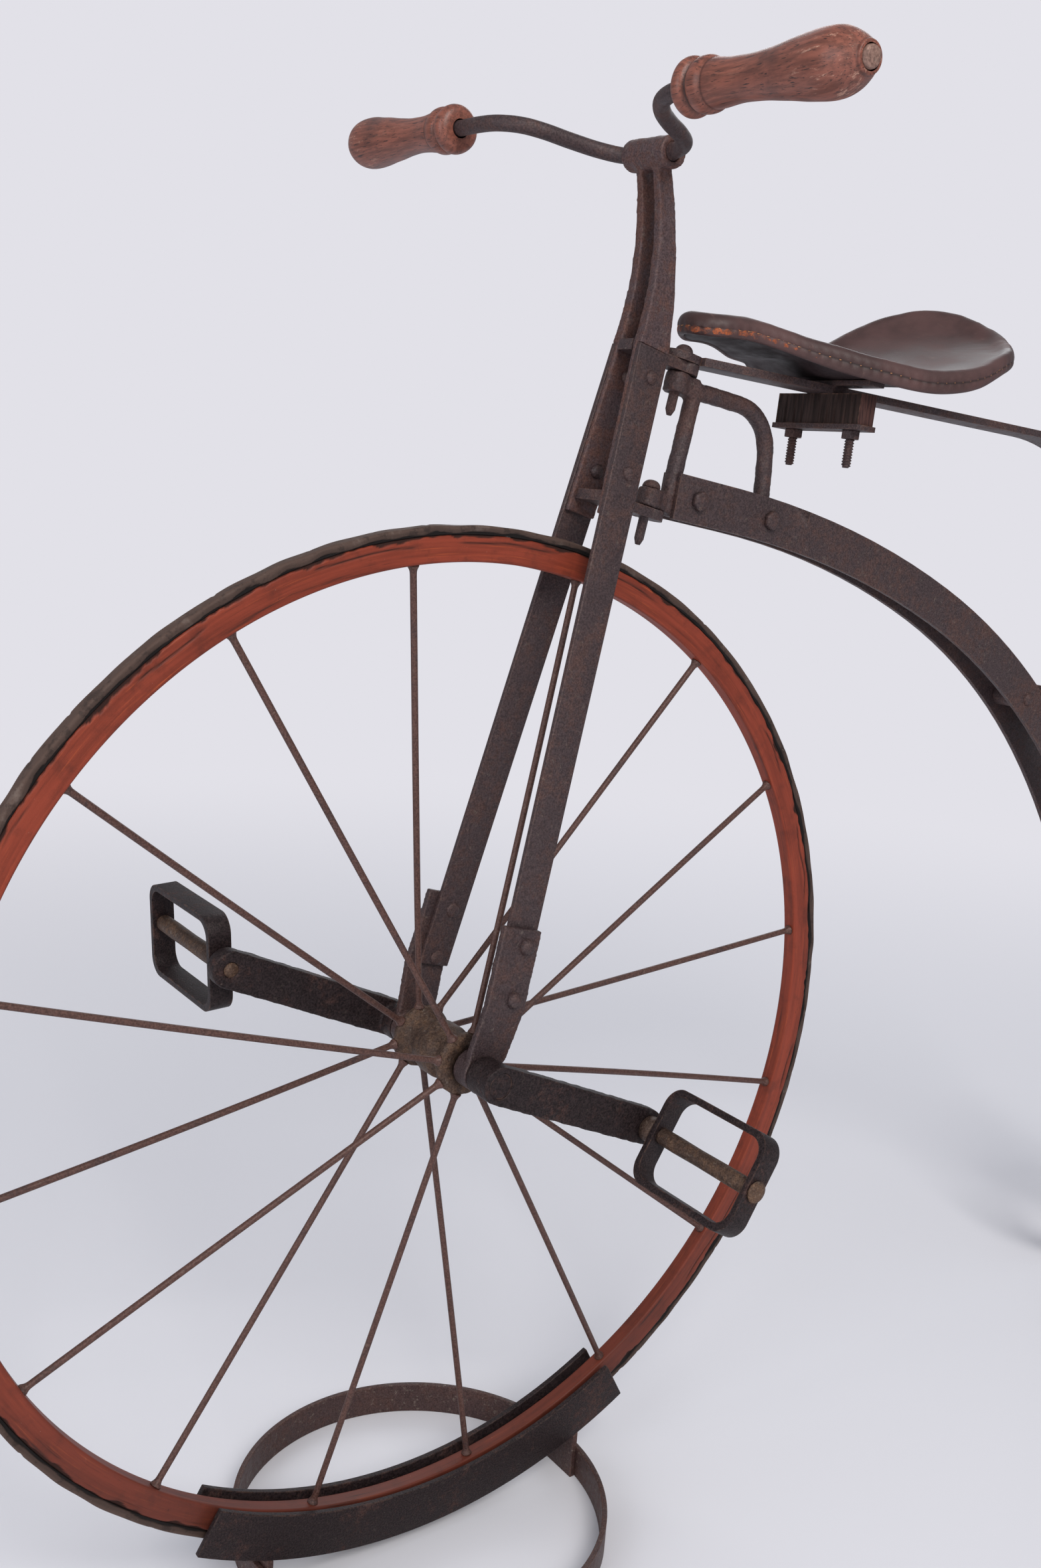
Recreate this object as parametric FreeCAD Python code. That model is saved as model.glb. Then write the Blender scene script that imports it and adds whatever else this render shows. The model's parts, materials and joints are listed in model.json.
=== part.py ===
import FreeCAD, Part
import math
import os

# A child's high-wheel bicycle with its display stand.  Millimetres, +X forward, +Y left, +Z up.
# The model is drawn about the front hub, then moved so that its origin is on the floor under
# the middle of its outline.

V = FreeCAD.Vector

# ---------------------------------------------------------------- driving dimensions
rim_inner_radius = 305.0        # front wheel, inside of the wooden rim
rim_depth = 16.0                # radial depth of the wooden rim
rim_width = 11.0
rim_chamfer_across, rim_chamfer_deep = 1.5, 2.0     # inner corners taken off
tyre_depth = 5.4                # solid rubber strip outside the rim
tyre_rounding = 1.6
rear_rim_inner_radius = 80.0
rear_rim_depth = 15.0
floor_gap = 15.6                # front tyre above the floor, held in the stand's cradle

spoke_count = 16
rear_spoke_count = 10
spoke_dia = 4.8
spoke_phase_deg = -30.5         # one spoke of the left flange, from straight up, rearward positive
spoke_end_gap = 0.1             # left between a slanting end's corner and the flange or rim
contact_gap = 0.05              # left between faces that rest on each other
through = 400.0                 # length of a cutter that passes right through a piece

fork_rake_deg = 13.6            # blades lean back from upright
blade_offset = -5.7             # blade centre line behind the hub
blade_thickness = 3.6
blade_width_foot = 22.0
blade_width_head = 24.0
blade_foot_u, blade_head_u = 43.5, 452.0    # heights along the rake
blade_foot_inset = 2.7          # blade's mid-thickness at its foot, inside the eye's end
blade_head_y = 12.0             # blade's mid-thickness at its head, from the middle plane

hub_half = 28.0                 # flange faces
hub_flange_radius = 20.0
hub_flange_thickness = 5.0
hub_barrel_radius = 13.5
hub_bulge_radius, hub_bulge_half = 17.5, 12.0
flange_neck = 0.8               # slope behind a flange, over the flange's thickness
axle_radius = 8.0
axle_end_inset = 1.0            # axle ends inside the crank bosses
running_clearance = 0.05        # radial, shaft in its eye

eye_clearance, eye_length = 3.0, 13.0       # fork end eye, outside the hub's flange
eye_radius = 12.0
end_lug_thickness = 5.0
end_lug_top_u = 92.0
end_lug_knee_u = 42.0           # the lug bends inward below this
end_lug_neck_u = 11.0           # and narrows to the eye below this
end_lug_width = 28.5
end_lug_w = -2.2                # its centre line, forward of the hub
end_lug_narrowing = 3.0         # width lost from the eye's across the axle
end_lug_taper = 1.0             # width lost at the neck

crank_length = 130.0
crank_angle_deg = 112.8         # left crank from straight up, rearward positive
crank_clearance, crank_boss_length = 1.0, 21.0      # boss, outside the fork end's eye
crank_arm_thickness = 10.0
crank_arm_width = 24.0
crank_boss_radius = 12.0
pedal_pin_radius = 4.6
pedal_head_radius, pedal_head_thickness = 7.0, 2.5
pedal_outer_y = 165.0           # outer face of the bent loop
# the two loops differ; 1 is the left pedal and -1 the right
pedal_clearance = {1: 10.0, -1: 5.5}    # inner face, outside the crank
pedal_height = {1: 59.0, -1: 63.0}
pedal_hang = {1: 0.0, -1: 2.5}          # loop's middle below its pin
pedal_strap = 15.0              # width of the strap
pedal_strap_thickness = 4.0
pedal_bend, pedal_inner_bend = 12.0, 10.0
pedal_tilt_deg = {1: -30.0, -1: 4.0}    # loop turned about its pin

head_over_tyre = 326.4          # tyre radius that the head's places below are given over
steer_rake_deg = 11.3           # the two steering bolts stand a little steeper than the fork
steer_w = -58.2                 # their axis behind the hub, square to itself
steer_bolt_radius = 3.2
bolt_dome_radius, bolt_dome_sunk = 6.0, 0.8
steer_eye_radius = 8.0
bracket_thickness = 6.5
upper_bracket_u, lower_bracket_u = 447.5, 354.5     # undersides, up the steering axis
bracket_front = 47.0            # front edge, forward of the axis
bracket_tip = 13.0              # rear tip, behind the axis
bracket_tongue_half = 8.0
bracket_fit_up = 3.0            # as wide as the legs stand apart this far above its top
tongue_length = 21.0            # up to the fork's rear edge
upper_tail_u, lower_tail_u = 420.0, 337.0
turning_gap = 0.3               # between flat faces that turn on each other

yoke_leg_thickness = 3.6
yoke_leg_below = 8.0            # legs reach this far below the lower bracket
yoke_arm_thickness = 4.6
yoke_gap_half = 6.6             # half the slot between the arms
yoke_leg_slimmer = 2.0          # leg narrower at its foot
yoke_arm_taper = 1.0            # arm thinner at its top
yoke_arm_lap = 2.0              # and let into the barrel
yoke_arm_foot = 20.0            # the outer slant starts this far below the legs' rear corner
yoke_arm_rear = ((-124.4, 486.0), (-114.8, 545.0))      # arm's rear edge: middle, top
yoke_arm_front = ((-109.2, 488.0), (-103.6, 545.0))
yoke_waist_z, yoke_top_z = 520.0, 560.0     # arms stand parallel between these heights
barrel_radius = 9.6
barrel_half = 19.0
barrel_x, barrel_z = -108.6, 550.4          # clamp barrel from the hub
bar_radius = 5.6
bar_tilt_deg = 2.3              # the bar sits out of square, left end low
bar_bend = 14.0
bar_straight = 9.0              # straight bar outside the barrel
bar_elbow = (-60.0, 78.0)       # where it turns along the grips, forward and out
bar_into_grip, bar_past_grip = 8.0, 1.5
grip_x, grip_z = -37.0, 561.0
grip_inner_y, grip_outer_y = 102.0, 234.0
# a grip's radius against the distance from its inner end
grip_profile = ((10.5, 0), (14.0, 3), (14.5, 9), (12.0, 12), (13.5, 16), (13.5, 24),
                (11.0, 38), (11.0, 60), (15.0, 95), (16.0, 112), (13.5, 126), (8.0, 132))

neck_upper_eye, neck_lower_eye = 13.0, 12.0     # heights of the neck's two eyes
neck_bar_back = 15.8            # upright behind the steering axis
neck_bar_radius = 5.6
neck_link_width = 10.0
neck_plate = 10.0               # tongue between the spine bars
neck_bar_short = 2.0            # upright stops below the upper eye's face
tongue_slimmer = 3.0            # tongue lower than the spine bars it stands between
bow_root = 6.0                  # bow leaves this far above the upper eye's underside
bow_radius = 5.6
bow_corner = (-226.5, 409.0)
bow_bend = 32.0
bow_foot_back = 1.0             # foot of the bow behind its corner

spine_height = 29.0
spine_thickness = 3.5
spine_start = (-145.4, 351.1)
spine_straight = 53.0
spine_slope_deg = 7.5
spine_arcs = ((768.0, 5.0), (768.0, 11.5), (545.0, 21.0), (640.0, 24.0))  # radius, turn
spine_flare_deg = 1.55          # each bar's plane opens out behind the first arc
spacer_radius, spacer_at = 8.0, 0.70        # rivet spacer, part way along the third arc

rear_axle_radius = 5.0
rear_axle_out = 16.0            # each end beyond the spine's middle plane
axle_nut_radius, axle_nut_height, nut_gap = 9.5, 7.0, 0.35
rear_hub_half = 18.0
rear_hub_radius = 15.0
rear_barrel_radius = 10.0
rear_hub_flange = 4.0
rear_bulge_half = 4.0

spring_width = 25.0
spring_thickness = 5.0
spring_slope_deg = 3.0
leaf_start = 9.5                # straight leaf begins this far behind the bolt, in its eye
spring_run = 346.5
spring_foot, foot_at = 34.0, 0.82           # flat foot, part way along the spine's third arc
pad_from = 4.0                  # foot widens to a pad this far from its heel

clamp_x = -279.5                # saddle clamp, square to the leaf
block_depth, block_width, block_height = 15.0, 76.0, 20.0
clamp_plate = 3.5
upper_plate_width, lower_plate_width, lower_plate_depth = 86.0, 79.0, 18.0
clamp_bolt_radius = 3.2
clamp_bolt_y = 26.5
clamp_bolt_tail = 24.5          # bolt beyond the lower plate
clamp_nut_radius, clamp_nut_height = 6.4, 5.5

pan_thickness, leather_gap, saddle_thickness = 2.0, 0.3, 10.5
pan_inset = 0.93                # pan's half width over the leather's
# saddle stations: distance behind the hub, half width, height of the edges' mean, degrees the
# left edge hangs down, and how far the middle stands above (or is dished below) the edges
saddle_stations = ((-148.0, 9.5, 450.0, 3.7, 1.0), (-153.5, 16.0, 450.4, 3.7, 2.0),
                   (-166.0, 22.4, 451.0, 3.8, 3.0), (-190.0, 26.5, 450.3, 3.9, 3.0),
                   (-223.0, 41.0, 444.3, 4.2, 3.0), (-262.0, 60.0, 439.2, 4.8, 2.2),
                   (-304.0, 74.0, 437.5, 5.6, 0.6), (-345.0, 77.0, 445.6, 6.4, -4.0),
                   (-380.0, 70.5, 461.8, 9.8, -7.0), (-401.0, 57.0, 469.5, 14.4, -6.0),
                   (-417.0, 41.0, 475.0, 18.6, -4.0), (-428.0, 20.0, 479.0, 20.0, -1.0))

ring_radius = 126.0             # stand ring, outside
ring_thickness = 3.6
ring_height = 22.4
ring_x = -7.3
cradle_half = 10.5              # inner face of a cheek from the middle plane
cheek_thickness = 4.0
cheek_height = 30.0
cheek_drop = 6.6                # cheek's lower edge outside the tyre
cheek_front_deg, cheek_rear_deg = 29.0, -30.0   # ends, from straight down, forward positive
leg_thickness = 4.0
seat_gap = 0.35                 # tyre above the legs' hollowed tops
leg_gap = 0.1                   # leg inside the ring
leg_blank = 50.0                # leg before it is hollowed for the tyre

# ---------------------------------------------------------------- derived values
rim_outer_radius = rim_inner_radius + rim_depth
tyre_radius = rim_outer_radius + tyre_depth
hub_height = tyre_radius + floor_gap
rear_tyre_radius = rear_rim_inner_radius + rear_rim_depth + tyre_depth
rear_hub_z = rear_tyre_radius - hub_height
rake = math.radians(fork_rake_deg)
UP = V(-math.sin(rake), 0, math.cos(rake))      # along the fork
FORE = V(math.cos(rake), 0, math.sin(rake))     # square to the fork, forward
head_lift = tyre_radius - head_over_tyre        # along the fork, with a larger or smaller wheel
HEAD = UP * head_lift                           # the head and backbone move by this
eye_inner_y = hub_half + eye_clearance
eye_outer_y = eye_inner_y + eye_length
crank_inner_y = eye_outer_y + crank_clearance
crank_outer_y = crank_inner_y + crank_boss_length
blade_foot_y = eye_outer_y - blade_foot_inset
blade_top_u = blade_head_u + head_lift
ACROSS = V(0, 1, 0)
nodes = {}


# ---------------------------------------------------------------- helpers
def uw(u, w, y=0.0):
    """Point at height u along the fork and distance w forward of the hub's rake line."""
    return UP * u + FORE * w + V(0, y, 0)


def xz(x, z, y=0.0):
    """Point of the head or backbone, which stand over the tyre."""
    return V(x, y, z) + HEAD


def cylinder(centre, direction, radius, length):
    """Cylinder of the given length, centred on a point."""
    d = V(direction).normalize()
    return Part.makeCylinder(radius, length, centre - d * (length / 2), d)


def rod(a, b, radius):
    return Part.makeCylinder(radius, (b - a).Length, a, b - a)


def plate(edges, y0, y1):
    """Prism of an outline given as edges in the plane y = 0, from y0 to y1."""
    face = Part.Face(Part.Wire(Part.__sortEdges__(edges)))
    solid = face.extrude(V(0, y1 - y0, 0))
    solid.translate(V(0, y0, 0))
    return solid


def bar_between(a, b, width_dir, width_a, width_b, thick_dir, thickness):
    """Flat bar from a to b, ruled between two rectangles."""
    wires = []
    for p, width in ((a, width_a), (b, width_b)):
        w, t = width_dir * (width / 2), thick_dir * (thickness / 2)
        c = [p - w - t, p + w - t, p + w + t, p - w + t]
        wires.append(Part.makePolygon(c + [c[0]]))
    return Part.makeLoft(wires, True, True)


def chain(stations, width_dir, thickness):
    """Flat bar through stations of (point, width), its thickness across the machine."""
    parts = [bar_between(a, b, width_dir, wa, wb, ACROSS, thickness)
             for (a, wa), (b, wb) in zip(stations, stations[1:])]
    return parts[0].fuse(parts[1:]).removeSplitter()


def turned(profile, axis_point, axis):
    """Solid of revolution of a closed polygon."""
    return Part.Face(Part.makePolygon(profile + [profile[0]])).revolve(axis_point, axis, 360)


def bent_rod(points, radius, bend):
    """Round rod along straight runs joined by tangent arcs of one bend radius."""
    edges, start = [], points[0]
    for before, corner, after in zip(points, points[1:], points[2:]):
        d0, d1 = (corner - before).normalize(), (after - corner).normalize()
        turn = d0.getAngle(d1)
        cut = bend * math.tan(turn / 2)
        p, q = corner - d0 * cut, corner + d1 * cut
        middle = corner + (d1 - d0).normalize() * (bend / math.cos(turn / 2) - bend)
        edges += [Part.LineSegment(start, p).toShape(), Part.Arc(p, middle, q).toShape()]
        start = q
    edges.append(Part.LineSegment(start, points[-1]).toShape())
    path = Part.Wire(edges)
    section = Part.Wire(Part.makeCircle(radius, points[0], points[1] - points[0]))
    return path.makePipeShell([section], True, False)


def hexagon(base, direction, radius, height):
    pts = []
    for k in range(7):
        a = math.radians(60 * k)
        pts.append(V(radius * math.cos(a), radius * math.sin(a), 0))
    prism = Part.Face(Part.makePolygon(pts)).extrude(V(0, 0, height))
    prism.Placement = FreeCAD.Placement(base, FreeCAD.Rotation(V(0, 0, 1), V(direction)))
    return prism


def in_steer(shape):
    """A shape drawn with Z up the steering axis, turned to rake and set over the tyre."""
    shape.rotate(V(0, 0, 0), ACROSS, -steer_rake_deg)
    shape.translate(HEAD)
    return shape


def steer_point(t, u):
    """Point at height u up the steering axis and t forward of it."""
    a = math.radians(steer_rake_deg)
    w = steer_w + t
    return xz(w * math.cos(a) - u * math.sin(a), w * math.sin(a) + u * math.cos(a))


def mirror_y(shape):
    return shape.mirror(V(0, 0, 0), V(0, 1, 0))


def add(name, shape):
    nodes[name] = shape


def both(name, shape):
    """The same piece on the left and, mirrored, on the right."""
    add(name + "_left", shape)
    add(name + "_right", mirror_y(shape))


# ---------------------------------------------------------------- wheels
def rim_and_tyre(prefix, centre, inner, depth):
    """Wooden rim with its inner corners taken off, and a strip of solid rubber round it."""
    half, outer, r = rim_width / 2, inner + depth, tyre_rounding
    flat, shoulder = half - rim_chamfer_across, inner + rim_chamfer_deep
    profile = [(inner, -flat), (inner, flat), (shoulder, half), (outer, half),
               (outer, -half), (shoulder, -half)]
    add(prefix + "_rim", turned([centre + V(x, y, 0) for x, y in profile], centre, ACROSS))
    tread, knee = outer + tyre_depth, r * (1 - math.sqrt(0.5))

    def at(x, y):
        return centre + V(x, y, 0)

    edges = [Part.LineSegment(at(outer, half), at(outer, -half)).toShape(),
             Part.LineSegment(at(tread, half - r), at(tread, r - half)).toShape()]
    for s in (1, -1):
        edges += [Part.LineSegment(at(outer, s * half), at(tread - r, s * half)).toShape(),
                  Part.Arc(at(tread - r, s * half), at(tread - knee, s * (half - knee)),
                           at(tread, s * (half - r))).toShape()]
    section = Part.Face(Part.Wire(Part.__sortEdges__(edges)))
    add(prefix + "_tyre", section.revolve(centre, ACROSS, 360))


def spokes(prefix, centre, count, phase, root_radius, root_y, inner):
    """Straight rods from alternate flanges, each butting on the rim's inside."""
    gap = spoke_end_gap + spoke_dia / 2 * root_y / (inner - root_radius)
    rods = []
    for k in range(count):
        a = math.radians(phase + 360.0 / count * k)
        side = 1 if k % 2 == 0 else -1
        out = V(-math.sin(a), 0, math.cos(a))
        rods.append(rod(centre + out * (root_radius + gap) + V(0, side * root_y, 0),
                        centre + out * (inner - gap), spoke_dia / 2))
    add(prefix + "_spokes", Part.makeCompound(rods))


def spool(centre, bore, half, flange_radius, flange, barrel, bulge, bulge_half):
    """Hub: two flanges, a barrel between them and a bulge in its middle, bored for the axle."""
    neck = flange * flange_neck
    out = [(bore, half), (flange_radius, half), (flange_radius, half - flange),
           (barrel, half - flange - neck), (barrel, bulge_half), (bulge, bulge_half / 2)]
    profile = [(r, -y) for r, y in out] + [(r, y) for r, y in reversed(out)]
    return turned([centre + V(r, y, 0) for r, y in profile], centre, ACROSS)


def front_hub():
    add("front_hub", spool(V(0, 0, 0), axle_radius, hub_half, hub_flange_radius,
                           hub_flange_thickness, hub_barrel_radius, hub_bulge_radius,
                           hub_bulge_half))
    add("front_axle", cylinder(V(0, 0, 0), ACROSS, axle_radius,
                               2 * (crank_outer_y - axle_end_inset)))


def crank(side, angle_deg):
    """Boss on the axle, flat arm and end eye; the pedal's pin stands out of the eye."""
    a = math.radians(angle_deg)
    out = V(-math.sin(a), 0, math.cos(a))
    s = side
    boss = Part.makeCylinder(crank_boss_radius, crank_outer_y - crank_inner_y,
                             V(0, s * crank_inner_y, 0), V(0, s, 0))
    arm_y = s * (crank_outer_y - crank_arm_thickness / 2)
    arm = bar_between(V(0, arm_y, 0), out * crank_length + V(0, arm_y, 0), V(out.z, 0, -out.x),
                      crank_arm_width, crank_arm_width, ACROSS, crank_arm_thickness)
    end = cylinder(out * crank_length + V(0, arm_y, 0), ACROSS,
                   crank_arm_width / 2, crank_arm_thickness)
    bore = cylinder(V(0, s * crank_inner_y, 0), ACROSS, axle_radius, through)
    body = boss.fuse([arm, end]).removeSplitter().cut(bore)
    pin_bore = cylinder(out * crank_length, ACROSS, pedal_pin_radius, through)
    name = "left" if side > 0 else "right"
    add("crank_" + name, body.cut(pin_bore))
    pin_from = V(0, s * (crank_outer_y - crank_arm_thickness), 0)
    pin_to = V(0, s * (pedal_outer_y + turning_gap), 0)
    pin = rod(out * crank_length + pin_from, out * crank_length + pin_to, pedal_pin_radius)
    head = Part.makeCylinder(pedal_head_radius, pedal_head_thickness,
                             out * crank_length + pin_to, V(0, s, 0))
    add("pedal_pin_" + name, pin.fuse(head))
    return out * crank_length


def pedal(side, centre):
    """Flat strap bent to a rounded rectangle, turning on the pin."""
    y0, y1, h = crank_outer_y + pedal_clearance[side], pedal_outer_y, pedal_height[side] / 2
    low = -h - pedal_hang[side]

    def rounded(inset, radius):
        box = Part.makeBox(pedal_strap, y1 - y0 - 2 * inset, 2 * h - 2 * inset,
                           V(-pedal_strap / 2, y0 + inset, low + inset))
        along_x = [e for e in box.Edges if abs(e.tangentAt(e.FirstParameter).x) > 0.9]
        return box.makeFillet(radius, along_x)

    loop = rounded(0, pedal_bend).cut(rounded(pedal_strap_thickness, pedal_inner_bend))
    loop = loop.cut(cylinder(V(0, (y0 + y1) / 2, 0), ACROSS,
                             pedal_pin_radius + running_clearance, through))
    loop.rotate(V(0, 0, 0), ACROSS, pedal_tilt_deg[side])
    if side < 0:
        loop = mirror_y(loop)
    loop.translate(centre)
    add("pedal_left" if side > 0 else "pedal_right", loop)


# ---------------------------------------------------------------- fork and head
def blade_y(u):
    k = (blade_head_y - blade_foot_y) / (blade_top_u - blade_foot_u)
    return blade_foot_y + k * (u - blade_foot_u)


def fork():
    t = blade_thickness
    both("fork_blade", bar_between(
        uw(blade_foot_u, blade_offset, blade_foot_y), uw(blade_top_u, blade_offset, blade_head_y),
        FORE, blade_width_foot, blade_width_head, ACROSS, t))
    # end lug: riveted outside the blade, bent in and narrowed to the eye on the axle
    lug_y = (t + end_lug_thickness) / 2
    low_y = eye_outer_y - end_lug_thickness / 2
    lug = chain([(uw(0, 0, low_y), 2 * eye_radius - end_lug_narrowing),
                 (uw(end_lug_neck_u, end_lug_w, low_y), end_lug_width - end_lug_taper),
                 (uw(end_lug_knee_u, end_lug_w, blade_y(end_lug_knee_u) + lug_y), end_lug_width),
                 (uw(end_lug_top_u, end_lug_w, blade_y(end_lug_top_u) + lug_y), end_lug_width)],
                FORE, end_lug_thickness)
    eye_y = (eye_inner_y + eye_outer_y) / 2
    eye = cylinder(V(0, eye_y, 0), ACROSS, eye_radius, eye_outer_y - eye_inner_y)
    bore = cylinder(V(0, eye_y, 0), ACROSS, axle_radius + running_clearance, through)
    both("fork_end", lug.fuse(eye).removeSplitter().cut(bore))


def yoke():
    """Clamp barrel on two bowed arms whose legs line the insides of the blades."""
    t, leg_t = blade_thickness, yoke_leg_thickness
    u_low, u_high = lower_bracket_u - yoke_leg_below + head_lift, blade_top_u
    leg = bar_between(uw(u_low, blade_offset, blade_y(u_low) - (t + leg_t) / 2),
                      uw(u_high, blade_offset, blade_y(u_high) - (t + leg_t) / 2),
                      FORE, blade_width_head - yoke_leg_slimmer, blade_width_head, ACROSS, leg_t)
    # each arm: outline in side view, cut to its thickness by slanting planes
    base_rear = uw(u_high, blade_offset - blade_width_head / 2)
    base_front = uw(u_high, blade_offset + blade_width_head / 2)
    rear_mid, rear_top = (xz(*p) for p in yoke_arm_rear)
    front_mid, front_top = (xz(*p) for p in yoke_arm_front)
    edges = [Part.Arc(base_rear, rear_mid, rear_top).toShape(),
             Part.LineSegment(rear_top, front_top).toShape(),
             Part.Arc(front_top, front_mid, base_front).toShape(),
             Part.LineSegment(base_front, base_rear).toShape()]
    gap, arm = yoke_gap_half, yoke_arm_thickness
    base_y = blade_y(u_high) + t / 2
    waist, crown = yoke_waist_z + HEAD.z, yoke_top_z + HEAD.z
    foot = base_rear.z - yoke_arm_foot
    wedge = across_yz([(gap, foot), (base_y + yoke_arm_taper, foot), (base_y, base_front.z),
                       (gap + arm, waist), (gap + arm - yoke_arm_taper, crown),
                       (gap - yoke_arm_lap, crown)])
    side = leg.fuse(plate(edges, 0, 2 * base_y).common(wedge))
    barrel = cylinder(xz(barrel_x, barrel_z), ACROSS, barrel_radius, 2 * barrel_half)
    bore = cylinder(xz(barrel_x, barrel_z), ACROSS, bar_radius + running_clearance, through)
    for shape in (barrel, bore):
        shape.rotate(xz(barrel_x, barrel_z), V(1, 0, 0), -bar_tilt_deg)
    add("yoke", barrel.fuse([side, mirror_y(side)]).removeSplitter().cut(bore))


def across_yz(outline):
    """Prism along X, wide enough for the whole head, of an outline in the YZ plane."""
    pts = [V(-through, y, z) for y, z in outline]
    return Part.Face(Part.makePolygon(pts + [pts[0]])).extrude(V(2 * through, 0, 0))


def brackets():
    """Two plates between the legs whose tongues carry the steering bolts."""
    h = bracket_thickness
    for name, u in (("upper_bracket", upper_bracket_u), ("lower_bracket", lower_bracket_u)):
        inside = blade_y(u + h + bracket_fit_up + head_lift)
        inside -= blade_thickness / 2 + yoke_leg_thickness + contact_gap
        tongue = min(bracket_tongue_half, inside)
        body = Part.makeBox(bracket_front - tongue_length, 2 * inside, h,
                            V(steer_w + tongue_length, -inside, u))
        neck_part = Part.makeBox(tongue_length, 2 * tongue, h, V(steer_w, -tongue, u))
        eye = Part.makeCylinder(steer_eye_radius, h,
                                V(steer_w - bracket_tip + steer_eye_radius, 0, u))
        hole = cylinder(V(steer_w, 0, u), V(0, 0, 1), steer_bolt_radius, through)
        add(name, in_steer(body.fuse([neck_part, eye]).removeSplitter().cut(hole)))


def steering_bolts():
    """Domed bolts; each goes through its bracket and the neck's eye."""
    gaps = 2 * turning_gap
    upper_head = upper_bracket_u + bracket_thickness + spring_thickness + gaps
    lower_head = lower_bracket_u + bracket_thickness + neck_lower_eye + gaps
    for name, head_u, tail_u in (("upper_steering_bolt", upper_head, upper_tail_u),
                                 ("lower_steering_bolt", lower_head, lower_tail_u)):
        shank = Part.makeCylinder(steer_bolt_radius, head_u - tail_u, V(steer_w, 0, tail_u))
        ball = Part.makeSphere(bolt_dome_radius, V(steer_w, 0, head_u - bolt_dome_sunk))
        dome = ball.common(Part.makeCylinder(bolt_dome_radius, bolt_dome_radius,
                                             V(steer_w, 0, head_u)))
        add(name, in_steer(shank.fuse(dome)))


def handlebar():
    """Round bar through the barrel, swept forward to the grips, and turned wooden grips."""
    half = [xz(barrel_x, barrel_z, barrel_half + bar_straight),
            xz(bar_elbow[0], grip_z, bar_elbow[1]),
            xz(grip_x, grip_z, grip_inner_y - bar_into_grip),
            xz(grip_x, grip_z, grip_outer_y + bar_past_grip)]
    points = [V(p.x, -p.y, p.z) for p in reversed(half)] + half
    bar = bent_rod(points, bar_radius, bar_bend)
    start = xz(grip_x, grip_z, grip_inner_y)
    bore = [start + V(0, y, bar_radius + running_clearance)
            for y in (grip_outer_y - grip_inner_y, 0.0)]
    grip = turned([start + V(0, y, r) for r, y in grip_profile] + bore, start, ACROSS)
    for name, shape in (("handlebar", bar), ("grip_left", grip), ("grip_right", mirror_y(grip))):
        shape.rotate(xz(barrel_x, barrel_z), V(1, 0, 0), -bar_tilt_deg)
        add(name, shape)


# ---------------------------------------------------------------- backbone
def spine_path():
    """Centre line of the spine as runs and arcs, rearward and down, in side view."""
    a = math.radians(spine_slope_deg)
    p = xz(*spine_start)
    d = V(-math.cos(a), 0, -math.sin(a))
    pieces = [("line", p, p + d * spine_straight, a, a)]
    p = p + d * spine_straight
    for radius, turn in spine_arcs:
        b = a + math.radians(turn)
        centre = p + V(math.sin(a), 0, -math.cos(a)) * radius
        q = centre + V(-math.sin(b), 0, math.cos(b)) * radius
        pieces.append(("arc", p, q, a, b, centre, radius))
        p, a = q, b
    d = V(-math.cos(a), 0, -math.sin(a))
    end = p + d * ((p.z - rear_hub_z) / math.sin(a))
    pieces.append(("line", p, end, a, a))
    return pieces, end


def offset_edges(pieces, off):
    """Edges of the path moved outward (up and back) by off."""
    edges = []
    for piece in pieces:
        kind, p, q, a, b = piece[:5]
        p1 = p + V(-math.sin(a), 0, math.cos(a)) * off
        q1 = q + V(-math.sin(b), 0, math.cos(b)) * off
        if kind == "line":
            edges.append(Part.LineSegment(p1, q1).toShape())
        else:
            m = (a + b) / 2
            mid = piece[5] + V(-math.sin(m), 0, math.cos(m)) * (piece[6] + off)
            edges.append(Part.Arc(p1, mid, q1).toShape())
    return edges


def strap(pieces, height, y0, y1):
    """Flat bar of the given height along the path, between two planes."""
    top, low = offset_edges(pieces, height / 2), offset_edges(pieces, -height / 2)
    ends = [Part.LineSegment(top[0].Vertexes[0].Point, low[0].Vertexes[0].Point).toShape(),
            Part.LineSegment(top[-1].Vertexes[-1].Point, low[-1].Vertexes[-1].Point).toShape()]
    return plate(top + low + ends, y0, y1)


def on_arc(piece, share, off):
    """Point and slope part way along an arc of the path, moved outward by off."""
    a = piece[3] + (piece[4] - piece[3]) * share
    return piece[5] + V(-math.sin(a), 0, math.cos(a)) * (piece[6] + off), a


def bar_y(pieces, x):
    """Mid-thickness of a spine bar from the middle plane, at x behind the flare's start."""
    hinge = pieces[2][1]
    flare = math.radians(spine_flare_deg)
    return (neck_plate + spine_thickness) / 2 + (hinge.x - x) * math.tan(flare)


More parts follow.
